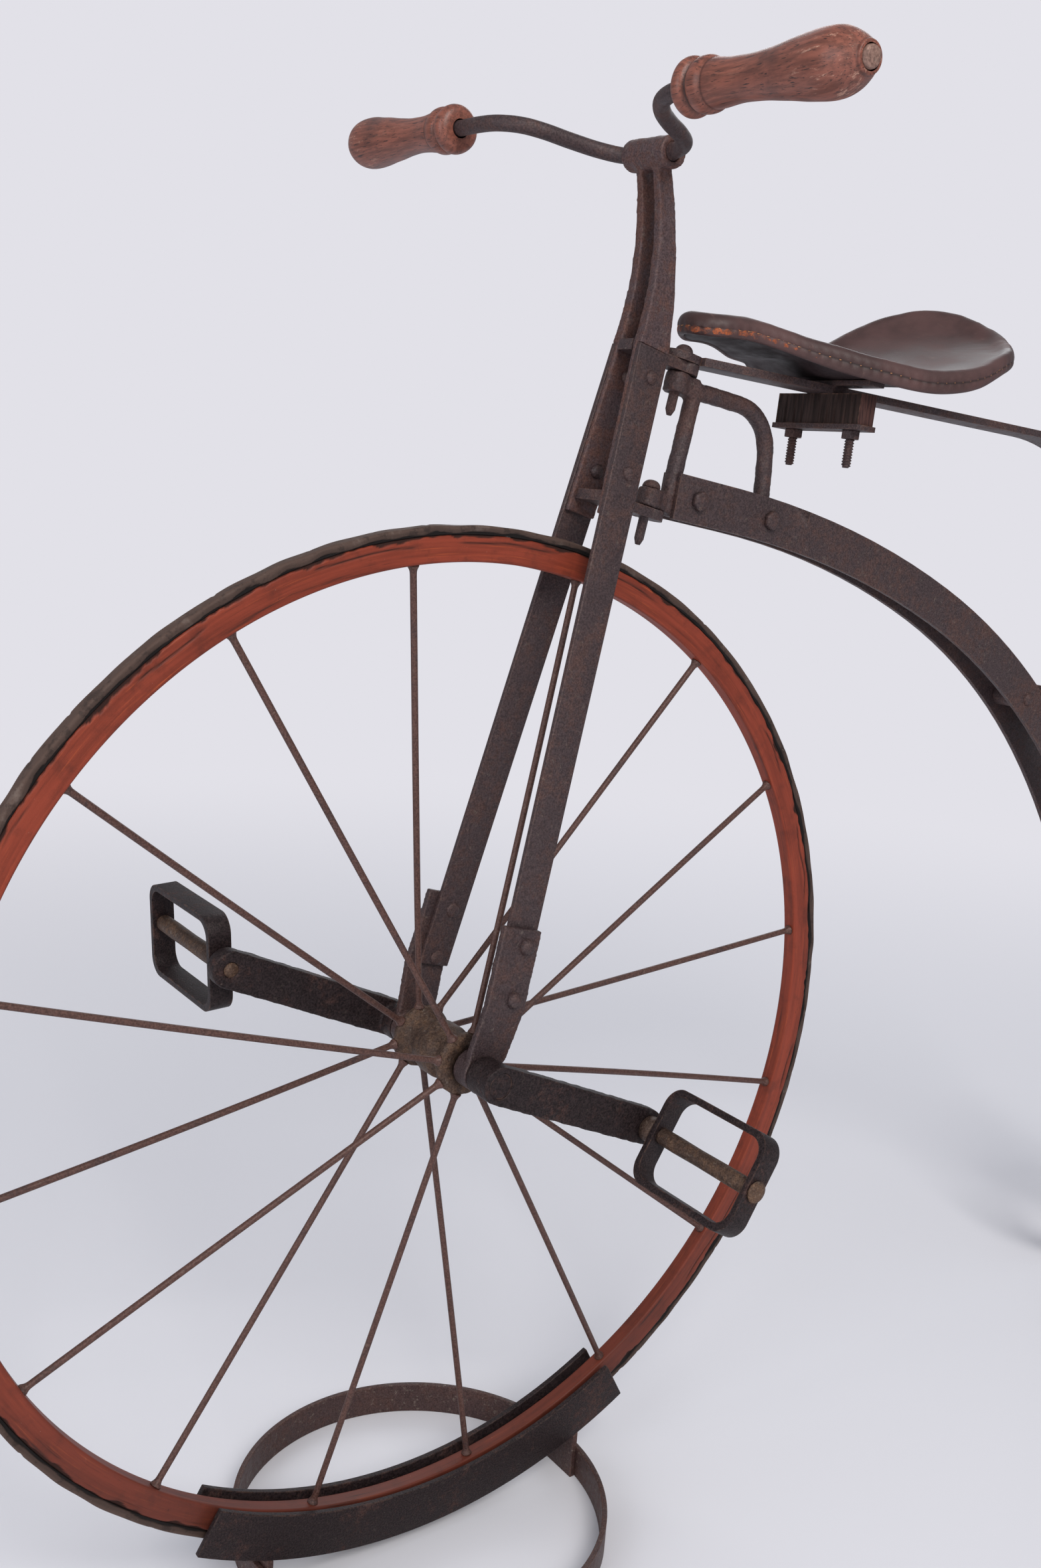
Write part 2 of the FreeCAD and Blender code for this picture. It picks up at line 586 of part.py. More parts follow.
def backbone():
    """Two curved flat bars from the neck down to the rear axle, and what joins them."""
    pieces, end = spine_path()
    y_in = neck_plate / 2
    y_mid = y_in + spine_thickness / 2
    hinge = pieces[2][1]
    front = strap(pieces[:2], spine_height, y_in, y_in + spine_thickness)
    rear = strap(pieces[2:], spine_height, y_in, y_in + spine_thickness)
    eye = cylinder(V(end.x, y_mid, end.z), ACROSS, spine_height / 2, spine_thickness)
    rear = rear.fuse(eye).removeSplitter()
    rear.rotate(V(hinge.x, y_mid, 0), V(0, 0, 1), -spine_flare_deg)
    flare = math.radians(spine_flare_deg)
    hub = V(hinge.x + (end.x - hinge.x) * math.cos(flare), 0, end.z)
    hub_y = y_mid + (hinge.x - end.x) * math.sin(flare)
    bar = front.fuse(rear).removeSplitter()
    both("spine", bar.cut(cylinder(hub, ACROSS, rear_axle_radius, through)))
    at = on_arc(pieces[3], spacer_at, 0)[0]
    gap = bar_y(pieces, at.x + spacer_radius) - spine_thickness / 2 - contact_gap
    add("spine_spacer", cylinder(at, ACROSS, spacer_radius, 2 * gap))
    axle = cylinder(hub, ACROSS, rear_axle_radius, 2 * (hub_y + rear_axle_out))
    face = hub_y + spine_thickness / 2 + nut_gap
    nuts = [hexagon(hub + V(0, s * face, 0), V(0, s, 0), axle_nut_radius,
                    axle_nut_height) for s in (1, -1)]
    add("rear_axle", axle.fuse(nuts))
    return hub, hub_y


def neck():
    """D-shaped casting: two eyes on the steering bolts, an upright, a bow and a tongue."""
    upper_u = upper_bracket_u - turning_gap - neck_upper_eye
    lower_u = lower_bracket_u + bracket_thickness + turning_gap
    back, top = steer_w - neck_bar_back, upper_u + neck_upper_eye
    solids = [Part.makeCylinder(neck_bar_radius, top - neck_bar_short - lower_u,
                                V(back, 0, lower_u))]
    for u, h in ((upper_u, neck_upper_eye), (lower_u, neck_lower_eye)):
        solids.append(Part.makeCylinder(steer_eye_radius, h, V(steer_w, 0, u)))
        solids.append(Part.makeBox(neck_bar_back, neck_link_width, h,
                                   V(back, -neck_link_width / 2, u)))
    head = solids[0].fuse(solids[1:])
    head = in_steer(head.cut(cylinder(V(steer_w, 0, lower_u), V(0, 0, 1),
                                      steer_bolt_radius + running_clearance, through)))
    pieces = spine_path()[0]
    tongue = strap(pieces[:2], spine_height - tongue_slimmer, -neck_plate / 2, neck_plate / 2)
    corner = xz(*bow_corner)
    bow = bent_rod([steer_point(-neck_bar_back, upper_u + bow_root), corner,
                    V(corner.x - bow_foot_back, 0, pieces[0][2].z)], bow_radius, bow_bend)
    body = head.fuse([tongue, bow]).removeSplitter()
    add("neck_casting", body.cut([nodes["spine_left"], nodes["spine_right"]]))


# ---------------------------------------------------------------- saddle
def arc_reach(a, b):
    """Where an arc of unit radius ends, turning from slope a to slope b."""
    return -(math.sin(b) - math.sin(a)), math.cos(b) - math.cos(a)


def seat_spring(pieces):
    """Leaf with a rounded eye, ending in a C whose foot lies flat on the spine.

    The C is two tangent arcs; their radii are solved from where the straight ends and where
    the foot must lie, so the foot follows the spine when either is changed.
    """
    t = spring_thickness
    eye_u = upper_bracket_u + bracket_thickness + turning_gap
    start = steer_point(-leaf_start, eye_u + t / 2)
    a = math.radians(spring_slope_deg)
    bend_from = start + V(-math.cos(a), 0, -math.sin(a)) * spring_run
    seat, slope = on_arc(pieces[3], foot_at, spine_height / 2 + t / 2 + contact_gap)
    along = V(math.cos(slope), 0, math.sin(slope))
    heel, tip = seat - along * (spring_foot / 2), seat + along * (spring_foot / 2)
    level = math.pi / 2
    (x1, z1), (x2, z2) = arc_reach(a, level), arc_reach(level, math.pi + slope)
    reach = heel - bend_from
    det = x1 * z2 - x2 * z1
    r1 = (reach.x * z2 - x2 * reach.z) / det
    r2 = (x1 * reach.z - reach.x * z1) / det
    c1 = bend_from + V(math.sin(a), 0, -math.cos(a)) * r1
    belly = c1 + V(-1, 0, 0) * r1
    c2 = belly + V(1, 0, 0) * r2
    path = [("line", start, bend_from, a, a), ("arc", bend_from, belly, a, level, c1, r1),
            ("arc", belly, heel, level, math.pi + slope, c2, r2),
            ("line", heel, tip, math.pi + slope, math.pi + slope)]
    leaf = strap(path, t, -spring_width / 2, spring_width / 2)
    half = bar_y(pieces, heel.x) + spine_thickness / 2
    pad = bar_between(heel + along * pad_from, tip, V(-along.z, 0, along.x), t, t, ACROSS, 2 * half)
    eye = in_steer(Part.makeCylinder(spring_width / 2, t, V(steer_w, 0, eye_u)))
    hole = in_steer(cylinder(V(steer_w, 0, eye_u), V(0, 0, 1),
                             steer_bolt_radius + running_clearance, through))
    add("seat_spring", leaf.fuse([eye, pad]).removeSplitter().cut(hole))
    at = clamp_x + HEAD.x
    return V(at, 0, start.z - math.tan(a) * (start.x - at))


def saddle_clamp(middle):
    """Wooden block and plate under the leaf, a plate over it, and two bolts beside it.

    Drawn about the leaf's middle with Z square to the leaf, then turned to the leaf's slope.
    """
    touch = spring_thickness / 2 + contact_gap
    under = -touch - block_height - clamp_plate

    def slab(low, depth, width, height):
        return Part.makeBox(depth, width, height, V(-depth / 2, -width / 2, low))

    pieces = {"saddle_block": slab(-touch - block_height, block_depth, block_width,
                                   block_height),
              "clamp_plate_lower": slab(under, lower_plate_depth, lower_plate_width,
                                        clamp_plate),
              "clamp_plate_upper": slab(touch, block_depth, upper_plate_width, clamp_plate)}
    bolts = []
    for s in (1, -1):
        foot = V(0, s * clamp_bolt_y, under - clamp_bolt_tail)
        bolt = Part.makeCylinder(clamp_bolt_radius, touch + clamp_plate - foot.z, foot)
        pieces = {name: shape.cut(bolt) for name, shape in pieces.items()}
        nut = hexagon(V(0, foot.y, under - clamp_nut_height), V(0, 0, 1), clamp_nut_radius,
                      clamp_nut_height)
        bolts.append(bolt.fuse(nut))
    pieces["clamp_bolts"] = Part.makeCompound(bolts)
    for name, shape in pieces.items():
        shape.rotate(V(0, 0, 0), ACROSS, -spring_slope_deg)
        shape.translate(middle)
        add(name, shape)


def saddle():
    """Pear-shaped pan and leather, lofted on stations: crowned at the nose, dished behind,
    and hanging to the left as an old saddle does."""
    def layer(low, high, inset):
        wires = []
        for x, half, edge, hang_deg, rise in saddle_stations:
            c, s = (f(math.radians(hang_deg)) * half * inset for f in (math.cos, math.sin))
            lip = edge + rise * (1.0 - inset ** 2)
            arcs = [Part.Arc(xz(x, lip + s + h, -c), xz(x, edge + rise + h),
                             xz(x, lip - s + h, c)).toShape() for h in (low, high)]
            sides = [Part.LineSegment(xz(x, lip - t * s + low, t * c),
                                      xz(x, lip - t * s + high, t * c)).toShape()
                     for t in (1, -1)]
            wires.append(Part.Wire(Part.__sortEdges__([arcs[0], sides[0], arcs[1], sides[1]])))
        return Part.makeLoft(wires, True, False)

    top = pan_thickness + leather_gap
    add("saddle_pan", layer(0.0, pan_thickness, pan_inset))
    add("saddle_leather", layer(top, top + saddle_thickness, 1.0))


# ---------------------------------------------------------------- stand
def stand():
    """Flat-bar ring on the floor, two legs, and a cradle of two cheeks beside the tyre."""
    floor = -hub_height
    inner = ring_radius - ring_thickness
    ring = Part.makeCylinder(ring_radius, ring_height, V(ring_x, 0, floor))
    add("stand_ring", ring.cut(Part.makeCylinder(inner, ring_height, V(ring_x, 0, floor))))
    r1 = tyre_radius + cheek_drop
    r0 = r1 - cheek_height
    a0, a1 = (math.radians(d) for d in (cheek_rear_deg, cheek_front_deg))
    am = (a0 + a1) / 2

    def at(r, a):
        return V(r * math.sin(a), 0, -r * math.cos(a))

    edges = [Part.Arc(at(r1, a0), at(r1, am), at(r1, a1)).toShape(),
             Part.Arc(at(r0, a0), at(r0, am), at(r0, a1)).toShape(),
             Part.LineSegment(at(r0, a0), at(r1, a0)).toShape(),
             Part.LineSegment(at(r0, a1), at(r1, a1)).toShape()]
    cheek = plate(edges, cradle_half, cradle_half + cheek_thickness)
    both("cradle_cheek", cheek)
    # legs stand inside the ring and end just under the tyre, notched for the cheeks
    half = cradle_half + cheek_thickness
    inside = Part.makeCylinder(inner - leg_gap, leg_blank, V(ring_x, 0, floor))
    tyre_room = cylinder(V(0, 0, 0), ACROSS, tyre_radius + seat_gap, through)
    sagitta = inner - math.sqrt(inner ** 2 - half ** 2)
    for name, side in (("front", 1), ("rear", -1)):
        near, far = ring_x + side * (inner - sagitta - leg_thickness), ring_x + side * inner
        leg = Part.makeBox(abs(far - near), 2 * half, leg_blank, V(min(near, far), -half, floor))
        add("stand_leg_" + name, leg.common(inside).cut([tyre_room, cheek, mirror_y(cheek)]))


# ---------------------------------------------------------------- assembly
def build():
    origin = V(0, 0, 0)
    rim_and_tyre("front", origin, rim_inner_radius, rim_depth)
    spokes("front", origin, spoke_count, spoke_phase_deg, hub_flange_radius,
           hub_half - hub_flange_thickness / 2, rim_inner_radius)
    front_hub()
    pedal(1, crank(1, crank_angle_deg))
    pedal(-1, crank(-1, crank_angle_deg + 180))
    fork()
    yoke()
    brackets()
    steering_bolts()
    handlebar()
    hub, hub_y = backbone()
    neck()
    rim_and_tyre("rear", hub, rear_rim_inner_radius, rear_rim_depth)
    add("rear_hub", spool(hub, rear_axle_radius + running_clearance, rear_hub_half,
                          rear_hub_radius, rear_hub_flange, rear_barrel_radius,
                          rear_barrel_radius, rear_bulge_half))
    spokes("rear", hub, rear_spoke_count, 0.0, rear_hub_radius,
           rear_hub_half - rear_hub_flange / 2, rear_rim_inner_radius)
    saddle_clamp(seat_spring(spine_path()[0]))
    saddle()
    stand()
    shift = V(-(tyre_radius + hub.x - rear_tyre_radius) / 2, 0, hub_height)
    os.makedirs("parts", exist_ok=True)
    for name, shape in nodes.items():
        shape.translate(shift)
        shape.exportStep("parts/%s.step" % name)
        print(name, len(shape.Solids), shape.isValid(), round(shape.Volume))
    print("shift", shift, "rear hub", hub, hub_y)


build()
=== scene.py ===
import json
import math
from contextlib import contextmanager
from functools import cache

import bmesh
import bpy
import numpy as np
from bpy.props import FloatProperty, FloatVectorProperty, IntProperty, PointerProperty
from mathutils import Matrix, Vector


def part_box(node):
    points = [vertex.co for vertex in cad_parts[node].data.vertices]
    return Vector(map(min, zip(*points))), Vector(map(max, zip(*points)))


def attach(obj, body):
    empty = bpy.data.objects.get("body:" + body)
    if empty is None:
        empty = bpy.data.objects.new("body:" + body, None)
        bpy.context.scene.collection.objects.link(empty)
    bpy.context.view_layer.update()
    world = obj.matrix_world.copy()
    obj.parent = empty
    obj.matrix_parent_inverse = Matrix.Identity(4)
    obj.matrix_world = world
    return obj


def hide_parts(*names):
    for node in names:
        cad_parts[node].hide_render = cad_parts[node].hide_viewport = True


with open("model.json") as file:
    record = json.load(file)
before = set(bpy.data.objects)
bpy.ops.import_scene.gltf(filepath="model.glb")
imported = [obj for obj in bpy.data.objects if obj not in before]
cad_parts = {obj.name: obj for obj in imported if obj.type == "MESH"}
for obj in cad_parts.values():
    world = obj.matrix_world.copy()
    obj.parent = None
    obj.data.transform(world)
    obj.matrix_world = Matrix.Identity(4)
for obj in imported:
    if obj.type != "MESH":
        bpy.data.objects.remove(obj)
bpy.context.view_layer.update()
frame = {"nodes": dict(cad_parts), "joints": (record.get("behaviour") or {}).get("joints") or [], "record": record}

bl_info = {
    "name": "High-Wheel Bicycle Finish",
    "version": (1, 0, 0),
    "blender": (4, 5, 0),
    "location": "View3D > Sidebar > Bicycle",
    "description": "Builds the looks of a child's high-wheel bicycle on its display stand",
    "category": "Object",
}

NODES = frame["nodes"]
BODY_OF = {n: b for b, members in frame["record"]["behaviour"]["bodies"].items() for n in members}
JOINTS = {joint["name"]: joint for joint in frame["joints"]}
MM = 0.001
ACROSS = np.array([0.0, 1.0, 0.0])
SIDES = ((1, "left"), (-1, "right"))
CAD_WELD = 0.002 * MM           # apart by less than this, a CAD mesh's points are one


def node_middle(node):
    low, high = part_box(node)
    return np.array((low + high) / 2)


HUB = node_middle("front_rim") * [1, 0, 1]
REAR_HUB = node_middle("rear_rim") * [1, 0, 1]


def srgb(red, green, blue):
    """A paint colour given as 0 to 255 on a screen, as linear light."""
    c = np.array([red, green, blue]) / 255.0
    return tuple(float(v) for v in np.where(c <= 0.04045, c / 12.92, ((c + 0.055) / 1.055) ** 2.4))


# ---------------------------------------------------------------- settings
def length(name, description, default):
    return FloatProperty(name=name, description=description, default=default, min=0.0,
                         unit="LENGTH", precision=5)


def colour(name, description, default):
    return FloatVectorProperty(name=name, description=description, default=default, size=3,
                               min=0.0, max=1.0, subtype="COLOR")


class BICYCLE_PG_sizes(bpy.types.PropertyGroup):
    rim_rounding: length("Rim Rounding", "Radius of the wooden rims' corners", 1.4 * MM)
    chip_depth: length("Chip Depth", "How deep the rims' outer edges are chipped", 0.9 * MM)
    spoke_radius: length("Spoke Radius", "Half the thickness of a spoke", 2.05 * MM)
    spoke_flare: length("Spoke Flare", "Radius of a spoke's spread end", 3.6 * MM)
    spoke_bow: length("Spoke Bow", "How far an old spoke bends out of true", 0.9 * MM)
    rivet_radius: length("Rivet Radius", "Radius of the fork's rivet heads", 4.3 * MM)
    lug_rivet_radius: length("Lug Rivet Radius", "Radius of the end lugs' rivet heads", 5.2 * MM)
    spine_bolt_radius: length("Spine Bolt Radius", "Radius of the spine's bolt heads", 6.3 * MM)
    thread_pitch: length("Thread Pitch", "Rise of one turn on the clamp bolts", 1.9 * MM)
    thread_depth: length("Thread Depth", "Depth of the clamp bolts' threads", 0.95 * MM)
    edge_rounding: length("Edge Rounding", "Radius worn onto the flat bars' edges", 0.7 * MM)
    stitch_length: length("Stitch Length", "Thread showing in one stitch of the saddle", 5.0 * MM)
    stitch_count: IntProperty(name="Stitches", description="Stitches round the saddle's edge",
                              default=98, min=8, max=400)


class BICYCLE_PG_colours(bpy.types.PropertyGroup):
    iron: colour("Iron", "Dark skin of the old iron", srgb(66, 52, 53))
    rust: colour("Rust", "Brown rust on the iron", srgb(90, 62, 54))
    edge_rust: colour("Edge Rust", "Orange-brown rust where edges wore thin", srgb(134, 84, 58))
    forged: colour("Forged Iron", "Darker, oilier iron of the cranks, pedals and cradle",
                   srgb(33, 24, 25))
    yoke: colour("Yoke Iron", "Paler skin of the fork's yoke", srgb(84, 66, 67))
    yoke_rust: colour("Yoke Rust", "Orange-brown rust on the yoke", srgb(104, 66, 52))
    hub: colour("Hub Iron", "Olive-brown iron of the front hub and the pins", srgb(74, 58, 48))
    hub_rust: colour("Hub Rust", "Tan dust and rust on the front hub", srgb(122, 94, 72))
    bar_end: colour("Bar End", "Bare iron of the handlebar's ends", srgb(150, 118, 104))
    stand: colour("Stand Iron", "Reddish-brown skin of the stand's ring", srgb(72, 50, 47))
    bright_edge: colour("Worn Edge", "Iron where handling wore its edges", srgb(130, 113, 103))
    dust: colour("Dust", "Dust that lies on the iron", srgb(140, 128, 116))
    spoke: colour("Spokes", "Rusty spoke rod", srgb(90, 59, 49))
    rim: colour("Rim Paint", "Red-orange paint on the wooden rims", srgb(142, 61, 42))
    rim_wood: colour("Rim Wood", "Bare old wood under the rims' paint", srgb(48, 27, 22))
    rubber: colour("Rubber", "Hard old rubber", srgb(82, 65, 58))
    leather: colour("Leather", "Purple-brown saddle leather", srgb(86, 60, 58))
    leather_worn: colour("Worn Leather", "Tan leather where the finish is gone", srgb(178, 92, 50))
    thread: colour("Thread", "Waxed thread of the saddle's seam", srgb(196, 140, 96))
    grip: colour("Grip Wood", "Reddish-brown turned grips", srgb(140, 82, 66))
    grip_worn: colour("Worn Grip Wood", "Pale wood where the grips are rubbed",
                      srgb(186, 142, 122))
    block: colour("Block Wood", "Dark wood of the saddle's block", srgb(62, 43, 38))


def sizes():
    return bpy.context.scene.bicycle_sizes


def colours():
    return bpy.context.scene.bicycle_colours


# ---------------------------------------------------------------- shapes
def ripple(points, size, seed):
    """Smooth unevenness from about -1 to 1 at each point: the mean of ten sine waves in random
    directions, each about size long."""
    rng = np.random.default_rng(seed)
    ways = rng.normal(size=(10, 3))
    ways *= (rng.uniform(0.6, 1.7, 10) / np.linalg.norm(ways, axis=1) * 2 * math.pi / size)[:, None]
    return np.sin(points @ ways.T + rng.uniform(0, 2 * math.pi, 10)).mean(-1) * 2.2


def smooth_line(points, count):
    """Catmull-Rom curve through the points, sampled count times: between two points it is the
    cubic whose slope at each is half the step between that point's neighbours."""
    p = np.asarray(points, float)
    p = np.vstack([2 * p[0] - p[1], p, 2 * p[-1] - p[-2]])
    t = np.linspace(0, len(p) - 3 - 1e-9, count)
    k = t.astype(int)
    t = (t - k)[:, None]
    a, b, c, d = p[k], p[k + 1], p[k + 2], p[k + 3]
    return b + 0.5 * t * (c - a + t * (2 * a - 5 * b + 4 * c - d + t * (3 * (b - c) + d - a)))


def step_between(value, low, high):
    """Smooth step: 0 below low, 1 above high, 3t squared less 2t cubed between."""
    t = np.clip((value - low) / (high - low), 0, 1)
    return t * t * (3 - 2 * t)


def grid_faces(rows, columns, wrap_rows, wrap_columns, first=0):
    """Quads between the neighbours of a grid of points, closed round where asked."""
    r = np.arange(rows if wrap_rows else rows - 1)[:, None]
    c = np.arange(columns if wrap_columns else columns - 1)[None, :]
    r1, c1 = (r + 1) % rows, (c + 1) % columns
    quads = np.stack(np.broadcast_arrays(r * columns + c, r * columns + c1,
                                         r1 * columns + c1, r1 * columns + c), -1)
    return quads.reshape(-1, 4) + first


def full_turn(steps):
    """Angles at even steps round a circle, without the one that closes it."""
    return np.linspace(0, 2 * math.pi, steps, endpoint=False)


def unit(vectors):
    return vectors / np.linalg.norm(vectors, axis=-1, keepdims=True)


def ring_about(axis):
    """The axis at length 1, and two directions square to it and to each other."""
    axis = unit(np.asarray(axis, float))
    side = unit(np.cross(axis, [0.0, 0.0, 1.0] if abs(axis[2]) < 0.9 else [1.0, 0.0, 0.0]))
    return axis, side, np.cross(axis, side)


def rings(line, radius, side, other, steps):
    """Surface round a line: the point at angle t of a ring is line + radius*(cos t*side +
    sin t*other). radius is a column with a number for each ring, or for each of its points."""
    t = full_turn(steps)[:, None]
    out = np.cos(t) * side[..., None, :] + np.sin(t) * other[..., None, :]
    return line[..., None, :] + radius[..., None] * out


def closed(points, line):
    """Rings with one more at each end, all of it at the line's own end, which closes them."""
    ends = [np.broadcast_to(line[..., k, None, None, :], points[..., :1, :, :].shape)
            for k in (0, -1)]
    return np.concatenate([ends[0], points, ends[1]], -3)


def turned(profile, foot, axis, steps=48, uneven=0.0, seed=1):
    """Lathe surface: for each height s and radius r of the profile, a ring of that radius
    about foot + s*axis. An uneven one has a ripple added to r."""
    axis, side, other = ring_about(axis)
    s, r = np.asarray(profile, float).T[..., None]
    line = foot + s * axis
    points = rings(line, r, side, other, steps)
    if uneven:
        r = r + ripple(points, 9 * MM, seed) * uneven * (r > 0)
        points = rings(line, r, side, other, steps)
    return points, False, True


def stretch_off(points, spot, axis, scale):
    """Points moved off or towards the axis through a spot, to scale times their distance."""
    off = points - spot
    along = (off @ axis)[..., None] * axis
    return spot + along + (off - along) * scale[..., None]


def vertex_rows(mesh, kind="co"):
    """A mesh's points, or its normals, as rows of three numbers."""
    numbers = np.empty(len(mesh.vertices) * 3)
    mesh.vertices.foreach_get(kind, numbers)
    return numbers.reshape(-1, 3)


def move_vertices(mesh, points):
    mesh.vertices.foreach_set("co", points.ravel())


@contextmanager
def edited(mesh):
    """A mesh opened in bmesh, and written back when the work on it is done."""
    bm = bmesh.new()
    bm.from_mesh(mesh)
    yield bm
    bm.to_mesh(mesh)
    bm.free()


def mesh_piece(name, grids, body, slot, material, replaces=(), **values):
    """One object from grids of points (points, rows close, columns close), welded where the
    seams and poles meet; values are kept as attributes of the points of its only grid."""
    verts, faces, first = [], [], 0
    for points, wrap_rows, wrap_columns in grids:
        rows, columns = points.shape[:2]
        faces.append(grid_faces(rows, columns, wrap_rows, wrap_columns, first))
        verts.append(points.reshape(-1, 3))
        first += rows * columns
    mesh = bpy.data.meshes.new(name)
    mesh.from_pydata(np.vstack(verts).tolist(), [], np.vstack(faces).tolist())
    for key, numbers in values.items():
        flat = np.broadcast_to(numbers, grids[0][0].shape[:2]).ravel().astype(np.float32)
        mesh.attributes.new(key, "FLOAT", "POINT").data.foreach_set("value", flat)
    weld(mesh)
    return placed(name, mesh, body, material, replaces)


def weld(mesh, distance=1e-6):
    """Merges points that coincide, drops faces that vanish, and points the faces outwards."""
    with edited(mesh) as bm:
        bmesh.ops.remove_doubles(bm, verts=bm.verts, dist=distance)
        bmesh.ops.dissolve_degenerate(bm, edges=bm.edges, dist=distance)
        bmesh.ops.recalc_face_normals(bm, faces=bm.faces)
    mesh.validate()


def placed(name, mesh, body, material, replaces=()):
    """A mesh as a piece that rides on a body and the nodes it stands for."""
    mesh.name = name
    piece = bpy.data.objects.new(name, mesh)
    bpy.context.scene.collection.objects.link(piece)
    mesh.materials.clear()
    mesh.materials.append(material)
    mesh.shade_smooth()
    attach(piece, body)
    if replaces:
        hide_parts(*replaces)
    return piece


def round_edges(bm, rounding, segments, flat):
    """Joins a CAD mesh's triangles into whole faces, flat to an angle, and bevels the edges
    between faces that are 35 degrees or more apart."""
    bmesh.ops.remove_doubles(bm, verts=bm.verts, dist=CAD_WELD)
    bmesh.ops.dissolve_limit(bm, angle_limit=flat, verts=bm.verts, edges=bm.edges)
    limit = math.radians(35)
    sharp = [e for e in bm.edges if len(e.link_faces) == 2 and e.calc_face_angle(0.0) > limit]
    bmesh.ops.bevel(bm, geom=sharp, offset=rounding, offset_type="OFFSET", segments=segments,
                    profile=0.5, affect="EDGES", clamp_overlap=True)


def worn_bar(node, material, rounding=None):
    """A CAD node's shape with its edges rounded over, as a new piece in the node's place."""
    mesh = NODES[node].data.copy()
    with edited(mesh) as bm:
        round_edges(bm, rounding or sizes().edge_rounding, 3, math.radians(0.3))
        bmesh.ops.triangulate(bm, faces=[f for f in bm.faces if len(f.verts) > 4])
    placed(node + "_worn", mesh, BODY_OF[node], material, (node,))
    mesh.set_sharp_from_angle(angle=math.radians(40))
    return mesh


def cast_copy(node, material, cell, rounds, dents, seed):
    """A CAD node's shape as cast or forged: a copy remeshed in small cells, relaxed so that
    corners and joints soften, then dented along its normals by a smooth unevenness."""
    mesh = NODES[node].data.copy()
    weld(mesh, CAD_WELD)
    rough = bpy.data.objects.new(node + "_rough", mesh)
    bpy.context.scene.collection.objects.link(rough)
    remesh = rough.modifiers.new("cells", "REMESH")
    remesh.mode = "VOXEL"
    remesh.voxel_size = cell
    relax = rough.modifiers.new("relax", "SMOOTH")
    relax.factor = 0.5
    relax.iterations = rounds
    shape = bpy.data.meshes.new_from_object(
        rough.evaluated_get(bpy.context.evaluated_depsgraph_get()))
    bpy.data.objects.remove(rough)
    points, normals = vertex_rows(shape), vertex_rows(shape, "normal")
    push = ripple(points, 11 * MM, seed) + 0.4 * ripple(points, 4 * MM, seed + 1)
    move_vertices(shape, points + normals * (dents * push)[:, None])
    placed(node + "_forged", shape, BODY_OF[node], material, (node,))


# ---------------------------------------------------------------- shader nodes
class Graph:
    """Short words for adding and joining the nodes of one shader tree."""

    def __init__(self, tree):
        self.tree = tree

    def put(self, kind, values=None, out=0, **settings):
        node = self.tree.nodes.new("ShaderNode" + kind)
        for key, value in settings.items():
            setattr(node, key, value)
        for key, value in (values or {}).items():
            self.set(node.inputs[key], value)
        return node.outputs[out]

    def set(self, socket, value):
        if isinstance(value, bpy.types.NodeSocket):
            self.tree.links.new(value, socket)
        elif socket.type == "RGBA" and len(value) == 3:
            socket.default_value = (*value, 1.0)
        else:
            socket.default_value = value

    def math(self, operation, a, b=0.0):
        return self.put("Math", {0: a, 1: b}, operation=operation)

    def plus(self, a, b):
        return self.math("ADD", a, b)

    def minus(self, a, b):
        return self.math("SUBTRACT", a, b)

    def times(self, a, b):
        return self.math("MULTIPLY", a, b)

    def mix(self, share, a, b, kind="MIX"):
        return self.put("Mix", {0: share, 6: a, 7: b}, out=2, data_type="RGBA", blend_type=kind)

    def ramp(self, value, low, high, start=0.0, end=1.0):
        return self.put("MapRange", {"Value": value, "From Min": low, "From Max": high,
                                     "To Min": start, "To Max": end},
                        interpolation_type="SMOOTHSTEP")

    def place(self):
        return self.put("TexCoord", out=3)

    def stretch(self, vector, scale):
        return self.put("Mapping", {"Vector": vector, "Scale": scale})

    def noise(self, vector, scale, detail=4.0, rough=0.55):
        return self.put("TexNoise", {"Vector": vector, "Scale": scale, "Detail": detail,
                                     "Roughness": rough})

    def attribute(self, name):
        return self.put("Attribute", attribute_name=name, out=2)

    def bump(self, height, strength, distance):
        return self.put("Bump", {"Height": height, "Strength": strength, "Distance": distance})


def shared_group(name, inputs, outputs, fill):
    """A shader node group with named sockets; fill(graph, sockets in) gives what comes out."""
    found = bpy.data.node_groups.get(name)
    if found:
        return found
    tree = bpy.data.node_groups.new(name, "ShaderNodeTree")
    kinds = {"F": "NodeSocketFloat", "C": "NodeSocketColor", "V": "NodeSocketVector"}
    for key, kind in inputs.items():
        tree.interface.new_socket(name=key, in_out="INPUT", socket_type=kinds[kind])
    for key, kind in outputs.items():
        tree.interface.new_socket(name=key, in_out="OUTPUT", socket_type=kinds[kind])
    graph = Graph(tree)
    entry = tree.nodes.new("NodeGroupInput")
    leave = tree.nodes.new("NodeGroupOutput")
    for key, socket in fill(graph, entry.outputs).items():
        tree.links.new(socket, leave.inputs[key])
    return tree


def use_group(graph, tree, values):
    node = graph.tree.nodes.new("ShaderNodeGroup")
    node.node_tree = tree
    for key, value in values.items():
        graph.set(node.inputs[key], value)
    return node.outputs


